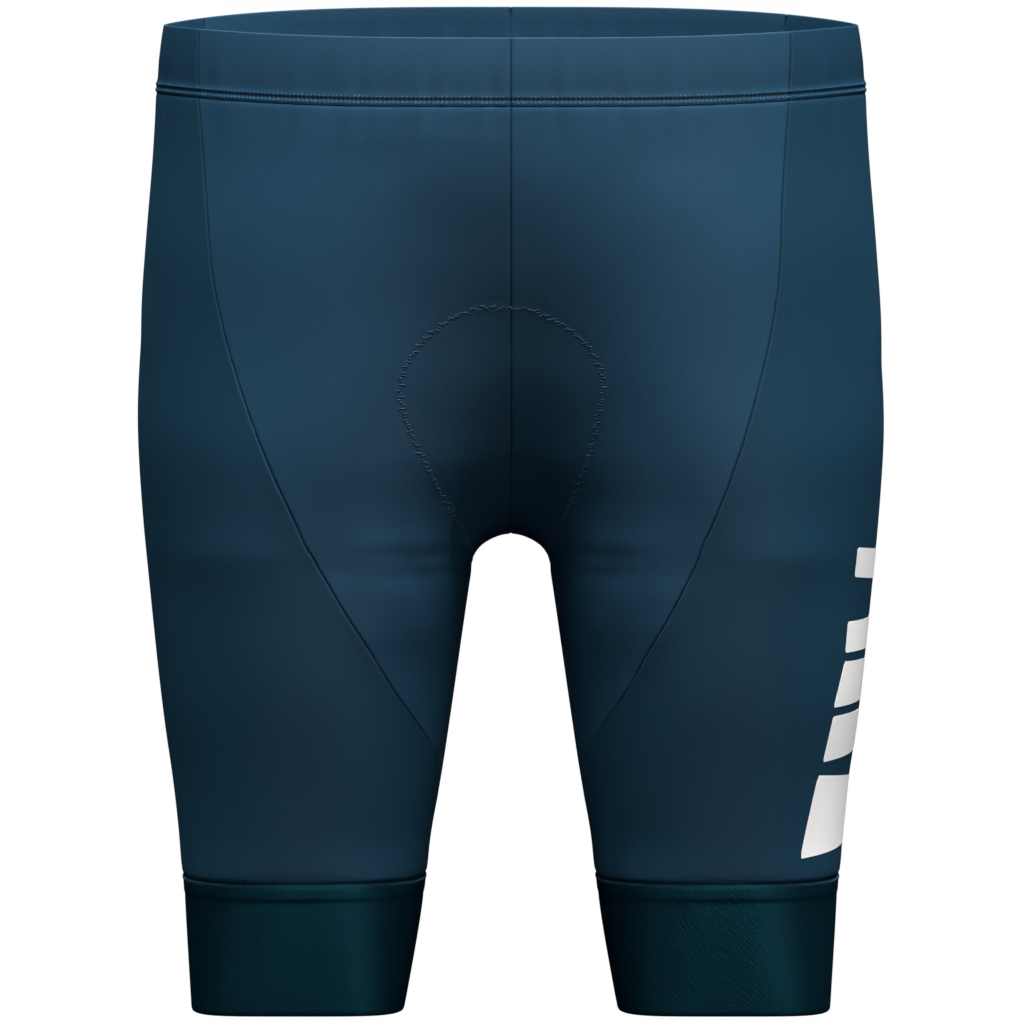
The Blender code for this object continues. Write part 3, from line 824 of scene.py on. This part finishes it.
def make_panel(name, grid, side, step, material, ridges, to_hem=False):
    """One panel of cloth. Where it reaches to the gripper, its lower edge goes round the whole leg."""
    grid = refined(grid, step)
    left, right, top, bottom = lengths_of(grid)
    out = rolled(left, ridges[0]) + rolled(right, ridges[1])
    out += ridged(top, TOP_RIDGE, TOP_RIDGE_REACH) - TOP_ROLL * bell(top, 0, TOP_ROLL_WIDTH)
    out += -HEM_ROLL * bell(bottom, 0, HEM_ROLL_WIDTH) if to_hem else rolled(bottom, 0)
    shape = bmesh.new()
    add_grid(shape, laid(grid, side, out), np.stack([left, top], axis=-1))
    face_outwards(shape, (LEG_X * side, 0, 0) if to_hem else (0, 0, 0))
    return finished(f"{name}_cloth", shape, material, [name], CLOTH)


# ---- The waistband: the panels' cloth folded over elastic, held by two rows of coverstitch ----

PITCH = 0.0020
STITCH_ROWS = (0.0016, 0.0044)  # heights of the two rows of thread above the lower edge
STITCH_STEPS = 4  # points of the waistband to each stitch
Holes = namedtuple("Holes", "up depth")
HOLES = (Holes(0.0016, 0.00022), Holes(0.0030, 0.00090), Holes(0.0044, 0.00022))
HOLE_WIDTH = 0.00050
BAND_CLOTH = 0.0006
BAND_RIDGE = 0.0001
BAND_HUG = np.array([0, 0.0003, 0.0007])
SEAM_CLEAR = 0.0012
INNER_FACE = -0.0012  # folds no further out than this belong to the side worn inwards
# The waistband from its lower edge over the top and down its inner side: how far out, and how far up.
Fold = namedtuple("Fold", "out up")
BAND_FOLD = (
    Fold(-0.0002, 0.0000),
    Fold(0.0000, 0.0002),
    Fold(0.0001, 0.0006),
    Fold(0.0003, 0.0011),
    Fold(0.0004, 0.0016),
    Fold(0.0003, 0.0021),
    Fold(0.0002, 0.0026),
    Fold(0.0002, 0.0030),
    Fold(0.0002, 0.0034),
    Fold(0.0003, 0.0038),
    Fold(0.0004, 0.0042),
    Fold(0.0004, 0.0047),
    Fold(0.0002, 0.0052),
    Fold(0.0001, 0.0057),
    Fold(0.0000, 0.0064),
    Fold(0.0000, 0.0080),
    Fold(0.0001, 0.0110),
    Fold(0.0002, 0.0150),
    Fold(0.0001, 0.0190),
    Fold(0.0000, 0.0230),
    Fold(-0.0002, 0.0265),
    Fold(-0.0004, 0.0290),
    Fold(-0.0005, 0.0302),
    Fold(-0.0006, 0.0308),
    Fold(-0.0007, 0.0310),
    Fold(-0.0009, 0.0309),
    Fold(-0.0011, 0.0304),
    Fold(-0.0015, 0.0290),
    Fold(-0.0021, 0.0250),
    Fold(-0.0026, 0.0180),
    Fold(-0.0030, 0.0100),
    Fold(-0.0033, 0.0040),
    Fold(-0.0034, 0.0015),
    Fold(-0.0034, -0.0004),
)
BAND_UP = lengths_along(np.array([[fold.out, fold.up, 0] for fold in BAND_FOLD]))
BAND_TOP = max(range(len(BAND_FOLD)), key=lambda row: BAND_FOLD[row].up) + 1  # there the side worn inwards begins
STITCHED = 0.0060  # height up to which the rows of stitching shape the band
STITCH_SWELL_LEAST, STITCH_SWELL_MORE = 0.55, 1.00
INNER_FROM = float(BAND_UP[BAND_TOP])
# The waistband is coloured a shade darker than the panels, though it is the same knit: painted shade that tones the
# band down where it tilts up to the lamps above. Its side stretches are darker still, as painted shade of the flanks
# that round away.
BAND_FRONT_KNIT_PAINTED_SHADE = knit_cloth("petrol_painted_shade_warp_knit_of_waistband", "#142D3E", 0.0, INNER_FROM)
BAND_SIDE_KNIT_PAINTED_SHADE = knit_cloth("petrol_painted_shade_warp_knit_of_waistband_side", "#0F2737", CROSSWISE, INNER_FROM)


def half_ring(z):
    """Angles from the centre front round one side to the centre back, and the length round to each."""
    centre = float(front_angle(0.0, z))
    angle = np.linspace(centre, 2 * np.pi - centre, 2 * FINE)
    return angle, lengths_along(at_angle(angle, z))


def swell_of_stitching(way, length):
    """Share of its swell that the stitching has: most at the sides, where the body pulls it least."""
    return STITCH_SWELL_LEAST + STITCH_SWELL_MORE * np.sin(np.pi * way / length) ** 6


def band_stretch(facing, side, z):
    """Angles at which one stretch of the waistband starts and ends, at a height."""
    centre, seam = float(front_angle(0.0, z)), float(seam_angle(z, side))
    back_seam, back = 2 * np.pi - seam, 2 * np.pi - centre
    return {"front": (centre, seam), "side": (seam, back_seam), "back": (back_seam, back)}[facing]


def band_way(facing, side):
    """Lengths round the waist, from the centre front, of the points along one stretch: a few to each stitch."""
    start, stop = np.interp(band_stretch(facing, side, BAND_Z), *half_ring(BAND_Z))
    step = PITCH / STITCH_STEPS
    inner = np.arange(math.ceil(start / step), math.floor(stop / step) + 1) * step
    inner = inner[(inner > start + SEAM_CLEAR) & (inner < stop - SEAM_CLEAR)]
    return np.concatenate([start + BAND_HUG, inner, (stop - BAND_HUG)[::-1]])


def band_out(fold, way, length):
    """Offset of the waistband along one line of its fold: dips at its seams, the swell of the stitching, and holes."""
    if fold.out <= INNER_FACE:
        return np.full_like(way, fold.out)
    out = fold.out * (swell_of_stitching(way, length) if 0 < fold.up < STITCHED else 1)
    out = out + rolled(np.minimum(way - way[0], way[-1] - way), BAND_RIDGE)
    from_hole = (way + PITCH / 2) % PITCH - PITCH / 2
    for holes in HOLES:
        out -= holes.depth * bell(from_hole, 0, HOLE_WIDTH) * bell(fold.up, holes.up, HOLE_WIDTH)
    return out


def make_band_piece(facing, side, material):
    """One stretch of the waistband, folded at its top, from one of the panels' seams to the next."""
    way = band_way(facing, side)
    share = (way - way[0]) / (way[-1] - way[0])
    half_waist = half_ring(BAND_Z)[1][-1]
    rows = []
    for fold in BAND_FOLD:
        z = BAND_Z + fold.up
        line = at_angle(np.linspace(*band_stretch(facing, side, z), FINE), z)
        rows.append(points_along(line, share * lengths_along(line)[-1]))
    out = np.stack([band_out(fold, way, half_waist) for fold in BAND_FOLD])
    shape = bmesh.new()
    ways = np.stack(np.broadcast_arrays(way[None, :], BAND_UP[:, None]), axis=-1)
    add_grid(shape, laid(np.stack(rows), side, out), ways)
    face_outwards(shape, (0, 0, 0), len(way) // 2)
    name = f"waistband_{facing}_{HAND[side]}"
    return finished(f"{name}_cloth", shape, material, [name], BAND_CLOTH)


def make_thread(name, path, radius, material, around):
    """A thread swept along a path of points, with so many sides."""
    ahead = np.gradient(path, axis=0)
    ahead /= np.linalg.norm(ahead, axis=1, keepdims=True)
    level = np.cross(ahead, np.array([0.02, 0.01, 1.0]))
    level /= np.linalg.norm(level, axis=1, keepdims=True)
    upright = np.cross(level, ahead)
    turn = np.linspace(0, 2 * np.pi, around + 1)[None, :, None]
    points = path[:, None] + radius * (np.cos(turn) * level[:, None] + np.sin(turn) * upright[:, None])
    shape = bmesh.new()
    add_grid(shape, points)
    bmesh.ops.remove_doubles(shape, verts=shape.verts[:], dist=1e-6)
    bmesh.ops.holes_fill(shape, edges=[edge for edge in shape.edges if edge.is_boundary], sides=0)
    bmesh.ops.recalc_face_normals(shape, faces=shape.faces[:])
    return finished(name, shape, material)


COVER_RADIUS = 0.00033
COVER_WAVE = 0.00030  # half the height of each loop of thread
COVER_PROUD, COVER_SUNK = 0.00036, 0.00020  # out with the swell of the stitching, and in all over
COVER_DIVE = 0.00062
COVER_DIVE_SHARE = 0.20  # of a stitch, over which the thread goes down into its hole
COVER_UNEVEN, COVER_UNEVEN_OUT = 0.3, 0.00005  # how far the loops differ in height, as a share, and outwards
LOOP_POINTS = 6


def coverstitch_row(side, height):
    """Path of one row of thread round half the waist: a loop for each stitch, diving into the cloth at each hole."""
    z = BAND_Z + height
    ring_angle, ring_length = half_ring(BAND_Z)
    count = int(ring_length[-1] / PITCH) * LOOP_POINTS
    way = np.arange(1, count) * PITCH / LOOP_POINTS
    centre, first = float(front_angle(0.0, z)), float(front_angle(0.0, BAND_Z))
    angle = np.interp(way, ring_length, ring_angle)
    angle = centre + (angle - first) * (np.pi - centre) / (np.pi - first)
    share = (way / PITCH) % 1
    stitch = np.floor(way / PITCH)
    uneven = 1 + COVER_UNEVEN * np.sin(stitch * 2.1 + 900 * height)
    loop = COVER_WAVE * uneven * np.sin(2 * np.pi * share)
    line = at_angle(angle, z + loop)
    dive = COVER_DIVE * bell(np.minimum(share, 1 - share), 0, COVER_DIVE_SHARE)
    proud = COVER_PROUD * swell_of_stitching(way, ring_length[-1]) - COVER_SUNK
    proud += COVER_UNEVEN_OUT * np.sin(stitch * 1.3 + 400 * height)
    return laid(line[None], side, (proud - dive)[None])[0]


# ---- The grippers ----

GRIPPER_CLOTH = 0.0011
TICK_PITCH = 0.0016
FACE_OUT = -0.0002
# The gripper from its top, which is turned down over the seam allowance, to its hem.
GRIPPER_DROP = (
    Fold(-0.0011, 0.0616),
    Fold(-0.0007, 0.0612),
    Fold(-0.0004, 0.0608),
    Fold(-0.0003, 0.0602),
    Fold(-0.0001, 0.0596),
    Fold(0.0000, 0.0589),
    Fold(0.0001, 0.0582),
    Fold(0.0001, 0.0570),
    Fold(0.0001, 0.0558),
    Fold(0.0001, 0.0550),
    Fold(0.0001, 0.0543),
    Fold(0.0000, 0.0537),
    Fold(-0.0001, 0.0531),
    *(Fold(FACE_OUT, up) for up in (0.0524, 0.0512, 0.0490)),
    *(Fold(FACE_OUT, up) for up in np.arange(9, 1, -1) * 0.0050),
    *(Fold(FACE_OUT, up) for up in (0.0060, 0.0030, 0.0014)),
    Fold(-0.0004, 0.0005),
    Fold(-0.0009, 0.0002),
)
SCALLOP = 0.00035
SCALLOP_PITCH = 0.0046
SCALLOP_UP = (0.0534, 0.0009)  # middle and width of the strip that the lower edge of the turning waves in
TICK_DENT = 0.00009
TICK_DENT_UP = (0.0596, 0.0007)
WAVER = 0.00010
WAVER_UP = (0.004, 0.05)
INSEAM_JOIN = 0.7  # depth of the join, as a share of that of a panel's seam


def leg_ring(z):
    """Points of a leg's ring from its inner side round, and the angle of each."""
    angle = np.linspace(0, 2 * np.pi, 2 * FINE)
    return at_angle(angle, z), angle


def make_gripper(side):
    """Elastic band at the hem, its top turned down over the seam allowance and run over with small stitches."""
    ring, ring_angle = leg_ring(GRIPPER_Z)
    length = lengths_along(ring)[-1]
    share = np.linspace(0, 1, round(length / TICK_PITCH) * 2 + 1)
    way = share * length
    angle = np.interp(share, lengths_along(ring) / length, ring_angle)
    rows, outs, drops = [], [], []
    for fold in GRIPPER_DROP:
        wave = np.sin(2 * np.pi * way / SCALLOP_PITCH + 1.3 * np.sin(way * 90))
        rows.append(at_angle(angle, HEM_Z + fold.up + SCALLOP * wave * bell(fold.up, *SCALLOP_UP)))
        dent = TICK_DENT * np.cos(2 * np.pi * way / TICK_PITCH) * bell(fold.up, *TICK_DENT_UP)
        soft = WAVER * np.sin(way * 61 + 9 * fold.up) * (WAVER_UP[0] < fold.up < WAVER_UP[1])
        outs.append(fold.out + dent + soft)
        drops.append(np.full_like(way, GRIPPER_DROP[0].up - fold.up))
    grid, out = np.stack(rows), np.stack(outs)
    # Both ends of the band meet on the inseam.
    out += INSEAM_JOIN * rolled(np.minimum(way, length - way), BAND_RIDGE)
    out -= slimmer(grid.reshape(-1, 3)).reshape(out.shape)
    name = f"gripper_{HAND[side]}"
    shape = bmesh.new()
    ways = np.stack([np.broadcast_to(way[None], out.shape), np.stack(drops)], axis=-1)
    add_grid(shape, mirrored(moved_out(grid, out), side), ways)
    face_outwards(shape, (LEG_X * side, 0, 0))
    return finished(f"{name}_elastic", shape, ELASTIC, [name], GRIPPER_CLOTH)


# A float of thread: how far along it, and how high over the cloth.
FLOAT_SHAPE = ((0.0, -0.0009), (0.12, -0.0004), (0.35, -0.00014), (0.65, -0.00014), (0.88, -0.0004), (1.0, -0.0009))
TICK_Z = HEM_Z + 0.0595
TICK_HALF = 0.00065
TICK_RADIUS = 0.00015
TICK_OUT = 0.00042


def tick_path(side):
    """Small upright stitches all round the top edge of the gripper."""
    ring, _ = leg_ring(TICK_Z)
    middle = divided(ring, round(lengths_along(ring)[-1] / TICK_PITCH))
    path = []
    for share, height in FLOAT_SHAPE:
        point = middle + np.array([0, 0, 1]) * TICK_HALF * (2 * share - 1)
        path.append(settled(point) + outward(point) * (height + TICK_OUT - slimmer(point))[:, None])
    return mirrored(np.stack(path, axis=1).reshape(-1, 3), side)


# ---- The seat pad and its stitching ----

PAD_OUT = -0.0027
PAD_THICK = 0.0040
PAD_EDGE = 0.0010
CHANNEL_DEPTH = 0.45  # share of the pad's thickness
SIDE_CHANNEL = 0.8  # depth of the side channels, as a share of the middle one's
# Centre and width of each channel, as shares of half the pad's width.
MIDDLE_CHANNEL_U = (0, 0.07)
SIDE_CHANNEL_U = (0.55, 0.06)


def make_pad():
    """Thin foam pad faced with fleece, with a long channel down each side and one down the middle."""
    grid = PAD_GRID
    rows, columns = grid.shape[:2]
    v, u = np.linspace(-1, 1, rows)[:, None], np.linspace(-1, 1, columns)[None, :]
    swell = (1 - u**6) * (1 - v**10)
    channel = bell(u, *MIDDLE_CHANNEL_U) + SIDE_CHANNEL * bell(np.abs(u), *SIDE_CHANNEL_U)
    channel = channel * np.clip((1 - np.abs(v)) * 6, 0, 1)
    below = np.full(grid.shape[:2], PAD_OUT)
    above = below - PAD_EDGE - (PAD_THICK - PAD_EDGE) * swell * (1 - CHANNEL_DEPTH * channel)
    fallen = valley(grid.reshape(-1, 3), 0).reshape(below.shape)
    shape = bmesh.new()
    for out in (below, above):
        add_grid(shape, worn(moved_out(grid, out - fallen)))
    bmesh.ops.bridge_loops(shape, edges=[edge for edge in shape.edges if edge.is_boundary])
    bmesh.ops.recalc_face_normals(shape, faces=shape.faces[:])
    piece = finished("seat_pad_fleece", shape, FLEECE, ["seat_pad"])
    return piece


FLOAT_STEP = 0.0014
FLOAT_HALF = (0.0023, 0.0012, 0.0018, 0.0008)  # half the length of each float in turn, so that they lie in tufts
PAD_THREAD_RADIUS = 0.00042
FLOAT_LEVEL = 0.9  # share of a float's direction that is level, beside what lies across the outline
FLOAT_ACROSS = 0.35
FLOAT_UNEVEN = 0.25  # how far the floats differ in length, as a share
FLOAT_WANDER = (0.0006, 0.0004)  # how far they stray from the outline, in two waves along it
OUTLINE_SMOOTHINGS = 4
PAD_SAG, PAD_SAG_WIDTH = 0.0031, 0.025
PAD_SAG_Z = -0.16


def pad_stitch_path(side):
    """Floats of thread laid to and fro across the pad's outline, roughly level, their ends drawn into the cloth."""
    line = PAD_OUTLINE[side]
    line = divided(line, round(lengths_along(line)[-1] / FLOAT_STEP))
    for _ in range(OUTLINE_SMOOTHINGS):
        line[1:-1] = (line[:-2] + 2 * line[1:-1] + line[2:]) / 4
    # Worn, the top of the outline sags a little.
    top = (line[:, 1] < 0) & (line[:, 2] > PAD_SAG_Z)
    line[:, 2] -= PAD_SAG * np.exp(-((line[:, 0] / PAD_SAG_WIDTH) ** 4)) * top
    line = settled(line)
    order = np.arange(len(line))
    normal = outward(line)
    across = np.cross(normal, np.gradient(line, axis=0))
    across /= np.linalg.norm(across, axis=1, keepdims=True)
    level = np.cross(normal, np.array([0.0, 0.0, 1.0]))
    level *= np.sign((level * across).sum(axis=1) + 1e-9)[:, None]
    way = FLOAT_LEVEL * level + (FLOAT_ACROSS + FLOAT_ACROSS * np.sin(order * 1.9))[:, None] * across
    way /= np.linalg.norm(way, axis=1, keepdims=True)
    half = np.array(FLOAT_HALF)[order % len(FLOAT_HALF)] * (1 + FLOAT_UNEVEN * np.sin(order * 2.3 + side))
    half *= np.where(order % 2 == 0, 1, -1)
    stray = FLOAT_WANDER[0] * np.sin(order * 1.7 + side) + FLOAT_WANDER[1] * np.sin(order * 4.3)
    middle = line + across * stray[:, None]
    path, heights = [], []
    for share, height in FLOAT_SHAPE:
        path.append(middle + way * (half * (2 * share - 1))[:, None])
        heights.append(np.full(len(line), height))
    path = settled(np.stack(path, axis=1).reshape(-1, 3))
    return laid(path[None], side, np.stack(heights, axis=1).reshape(1, -1))[0]


# ---- The printed blocks on the wearer's left thigh ----

# Each block's upper and lower edge, as the height at its front end and at its back end, and the turn round the leg
# of its front and back ends at the top and at the bottom. Angles are in radians of the leg's ring.
Block = namedtuple("Block", "high low high_back low_back front_top front_bottom back_top back_bottom")
BLOCKS = (
    Block(-0.2345, -0.2480, -0.2395, -0.2530, 2.66, 2.65, 3.42, 3.41),
    Block(-0.2680, -0.2820, -0.2680, -0.2820, 2.60, 2.58, 3.50, 3.48),
    Block(-0.2860, -0.3065, -0.2870, -0.3050, 2.58, 2.47, 3.30, 3.26),
    Block(-0.3105, -0.3310, -0.3090, -0.3270, 2.48, 2.40, 3.44, 3.40),
    Block(-0.3370, -0.3745, -0.3410, -0.3700, 2.36, 2.20, 3.26, 3.20),
)
FILM_OUT = 0.00014
FILM_THICK = 0.00012
CORNER = 0.0009
BLOCK_ROWS, BLOCK_COLUMNS = 15, 25


def make_print():
    """Plain white film blocks of unequal height, their ends slanted, pressed on the side panel one below the other."""
    shape = bmesh.new()
    v = np.linspace(0, 1, BLOCK_ROWS)[:, None]
    u = np.linspace(0, 1, BLOCK_COLUMNS)[None, :]
    for block in BLOCKS:
        front = block.front_top + (block.front_bottom - block.front_top) * v
        back = block.back_top + (block.back_bottom - block.back_top) * v
        edge = np.minimum(v, 1 - v) * (block.high - block.low)
        into_corner = np.maximum(CORNER - edge, 0)
        pull = (CORNER - np.sqrt(np.maximum(CORNER**2 - into_corner**2, 0))) / LEG_RADIUS
        high = block.high * (1 - u) + block.high_back * u
        low = block.low * (1 - u) + block.low_back * u
        grid = at_angle((front + pull) * (1 - u) + (back - pull) * u, high + (low - high) * v)
        left, _, top, _ = lengths_of(grid)
        add_grid(shape, laid(grid, 1, FILM_OUT), np.stack([left, top], axis=-1))
    face_outwards(shape, (LEG_X, 0, 0))
    for edge in shape.edges:
        edge.smooth = not edge.is_boundary
    return finished("printed_blocks", shape, FILM, (), FILM_THICK)


# ---- Seams ----

LADDER_PITCH = 0.0022
LADDER_REACH = 0.00028
LADDER_RADIUS = 0.00012
LADDER_DEEP = 0.00034
BELOW_CROTCH = 0.0004


def seam_ladder(line, side):
    """Fine zigzag of the seam's own thread, deep in the groove where two panels meet."""
    count = round(lengths_along(line)[-1] / LADDER_PITCH) * 2
    line = divided(line, count)
    ahead = np.gradient(line, axis=0)
    across = np.cross(outward(line), ahead)
    across /= np.linalg.norm(across, axis=1, keepdims=True)
    swing = np.where(np.arange(count + 1) % 2 == 0, 1.0, -1.0)
    return laid((line + across * (LADDER_REACH * swing)[:, None])[None], side, -LADDER_DEEP)[0]


def seam_lines(side):
    """The curved seam of the front and of the back, and the inseam, on one side."""
    z = np.linspace(BAND_Z, TIP_Z, FINE)
    angle = seam_angle(z, side)
    low = np.linspace(CROTCH_Z - BELOW_CROTCH, GRIPPER_Z, FINE)
    return {
        "front": at_angle(angle, z),
        "back": at_angle(2 * np.pi - angle, z),
        "inseam": at_angle(np.zeros_like(low), low),
    }


# ---- Putting the garment together ----

# Cut of each kind of piece: its greatest width and length laid flat, and its flat area. The knit is cut smaller than it
# is worn, by about a seventh round the body and a fiftieth along it.
Cut = namedtuple("Cut", "width length area")


for side, hand in HAND.items():
    for facing in ("front", "back"):
        grid = panel_points(facing, side)
        piece = make_panel(f"{facing}_{hand}", grid, side, STEP, FRONT_KNIT, FRONT_RIDGES)
    piece = make_panel(f"side_{hand}", side_points(side), side, SIDE_STEP, SIDE_KNIT_PAINTED_SHADE, SIDE_RIDGES, to_hem=True)
    for facing in ("front", "side", "back"):
        piece = make_band_piece(facing, side, BAND_SIDE_KNIT_PAINTED_SHADE if facing == "side" else BAND_FRONT_KNIT_PAINTED_SHADE)
    make_gripper(side)
    for number, height in enumerate(STITCH_ROWS, start=1):
        make_thread(f"coverstitch_{number}_{hand}", coverstitch_row(side, height), COVER_RADIUS, COVER_THREAD, 6)
    for name, line in seam_lines(side).items():
        make_thread(f"seam_thread_{name}_{hand}", seam_ladder(line, side), LADDER_RADIUS, SEAM_THREAD, 4)
    make_thread(f"pad_stitch_{hand}", pad_stitch_path(side), PAD_THREAD_RADIUS, PAD_THREAD, 5)
    make_thread(f"tick_stitch_{hand}", tick_path(side), TICK_RADIUS, TICK_THREAD, 4)
for facing in ("front", "back"):
    path = seam_ladder(centre_curve(facing, FINE), 1)
    make_thread(f"seam_thread_centre_{facing}", path, LADDER_RADIUS, SEAM_THREAD, 4)
make_pad()
make_print()

# ---- Studio ----

FLOOR_Z = -1.5
AIM = Vector((0, 0, -0.2204))  # the middle of the photograph
CAMERA_X = -0.0004
CAMERA_AWAY, CAMERA_Z = 10, 0.40
LENS = 777.2  # millimetres, on a sensor 36 mm wide


def make_floor():
    """Plain pale paper. Far off it runs up to full white, as a lit studio sweep does."""
    shape = bmesh.new()
    bmesh.ops.create_grid(shape, x_segments=8, y_segments=8, size=90)
    mesh = bpy.data.meshes.new("studio_floor")
    bmesh.ops.translate(shape, verts=shape.verts[:], vec=(0, 0, FLOOR_Z))
    shape.to_mesh(mesh)
    shape.free()
    floor = bpy.data.objects.new("studio_floor", mesh)
    bpy.context.scene.collection.objects.link(floor)
    material, tree = new_material("studio_paper")
    where = add(tree, "ShaderNodeTexCoord").outputs["Object"]
    far = add(tree, "ShaderNodeVectorMath", {0: where}, operation="LENGTH").outputs["Value"]
    lit = add(tree, "ShaderNodeMapRange", {"Value": far, "From Min": 8.0, "From Max": 11.0}).outputs[0]
    near = add(tree, "ShaderNodeMath", {0: 1.0, 1: lit}, operation="SUBTRACT").outputs[0]
    paper = add(tree, "ShaderNodeVectorMath", {0: linear("#E9E9E8")[:3], "Scale": near}, operation="SCALE").outputs[0]
    shaded(
        tree,
        {
            "Base Color": paper,
            "Roughness": 0.9,
            "Specular IOR Level": 0.0,
            "Emission Color": (1, 1, 1, 1),
            "Emission Strength": lit,
        },
    )
    mesh.materials.append(material)
    floor.visible_diffuse = floor.visible_glossy = False


# Turn and height of each lamp in degrees, azimuth 0 by the camera. Spread is in degrees too, power in watts.
Lamp = namedtuple(
    "Lamp",
    "name azimuth elevation distance width height power aim spread diffuse glossy",
    defaults=(AIM, 180, True, True),
)
LAMPS = (
    Lamp("left_softbox", -64, 70, 5, 2.2, 2.2, 560),
    Lamp("front_softbox", 25, 70, 5, 2.2, 2.2, 600),
    Lamp("right_softbox", 72, 70, 5, 2.2, 2.2, 630),
    Lamp("low_left_fill", -50, -6, 2.2, 1.0, 1.0, 4),
    Lamp("low_right_fill", 50, -6, 2.2, 1.0, 1.0, 7),
    Lamp("gridded_leg_light", 0, -4, 1.6, 0.8, 0.08, 0.10, Vector((0, 0, -0.360)), 10.8),
    Lamp("left_inner_leg_light", -32, -4, 1.6, 0.2, 0.08, 0.009, Vector((0.030, 0, -0.340)), 12),
    Lamp("right_inner_leg_light", 32, -4, 1.6, 0.2, 0.08, 0.009, Vector((-0.030, 0, -0.340)), 12),
    # Only the gleam of these two shows.
    Lamp("broad_strip", 0, 5, 2, 1.2, 1.6, 17, diffuse=False),
    Lamp("narrow_strip", 28, 5, 2, 0.16, 1.6, 22, diffuse=False),
    Lamp("back_softbox", 180, 66, 5, 3.0, 2.2, 640),
    Lamp("low_back_fill", 180, 0, 2.4, 1.4, 1.0, 16, glossy=False),
)


def hang(lamp):
    """A lamp with a soft face, turned to the garment."""
    light = bpy.data.lights.new(lamp.name, "AREA")
    light.shape = "RECTANGLE"
    light.size, light.size_y = lamp.width, lamp.height
    light.energy = lamp.power
    light.spread = math.radians(lamp.spread)
    turn, lift = math.radians(lamp.azimuth), math.radians(lamp.elevation)
    away = Vector((math.sin(turn) * math.cos(lift), -math.cos(turn) * math.cos(lift), math.sin(lift)))
    made = bpy.data.objects.new(lamp.name, light)
    made.location = lamp.aim + away * lamp.distance
    made.rotation_euler = (-away).to_track_quat("-Z", "Y").to_euler()
    made.visible_camera = False
    made.visible_diffuse, made.visible_glossy = lamp.diffuse, lamp.glossy
    bpy.context.scene.collection.objects.link(made)


def make_world():
    """Dim grey room with a white band at the horizon, which is what shows behind the garment."""
    world = bpy.data.worlds.new("studio")
    bpy.context.scene.world = world
    world.use_nodes = True
    tree = world.node_tree
    tree.nodes.clear()
    where = add(tree, "ShaderNodeTexCoord").outputs["Generated"]
    height = add(tree, "ShaderNodeSeparateXYZ", {0: where}).outputs["Z"]
    away = add(tree, "ShaderNodeMath", {0: height}, operation="ABSOLUTE").outputs[0]
    band = {"Value": away, "From Min": 0.03, "From Max": 0.06, "To Min": 1.0, "To Max": 0.03}
    lit = add(tree, "ShaderNodeMapRange", band)
    glow = add(tree, "ShaderNodeBackground", {"Color": (1, 1, 1, 1), "Strength": lit.outputs[0]})
    add(tree, "ShaderNodeOutputWorld", {"Surface": glow.outputs[0]})
    world.cycles_visibility.glossy = False


make_floor()
make_world()
for lamp in LAMPS:
    hang(lamp)

camera = bpy.data.objects.new("camera", bpy.data.cameras.new("camera"))
bpy.context.scene.collection.objects.link(camera)
camera.location = (CAMERA_X, -CAMERA_AWAY, CAMERA_Z)
camera.rotation_euler = (AIM + Vector((CAMERA_X, 0, 0)) - camera.location).to_track_quat("-Z", "Y").to_euler()
camera.data.sensor_width = 36
camera.data.lens = LENS
camera.data.clip_start, camera.data.clip_end = 1, 200
bpy.context.scene.camera = camera
bpy.context.scene.view_settings.view_transform = "Standard"
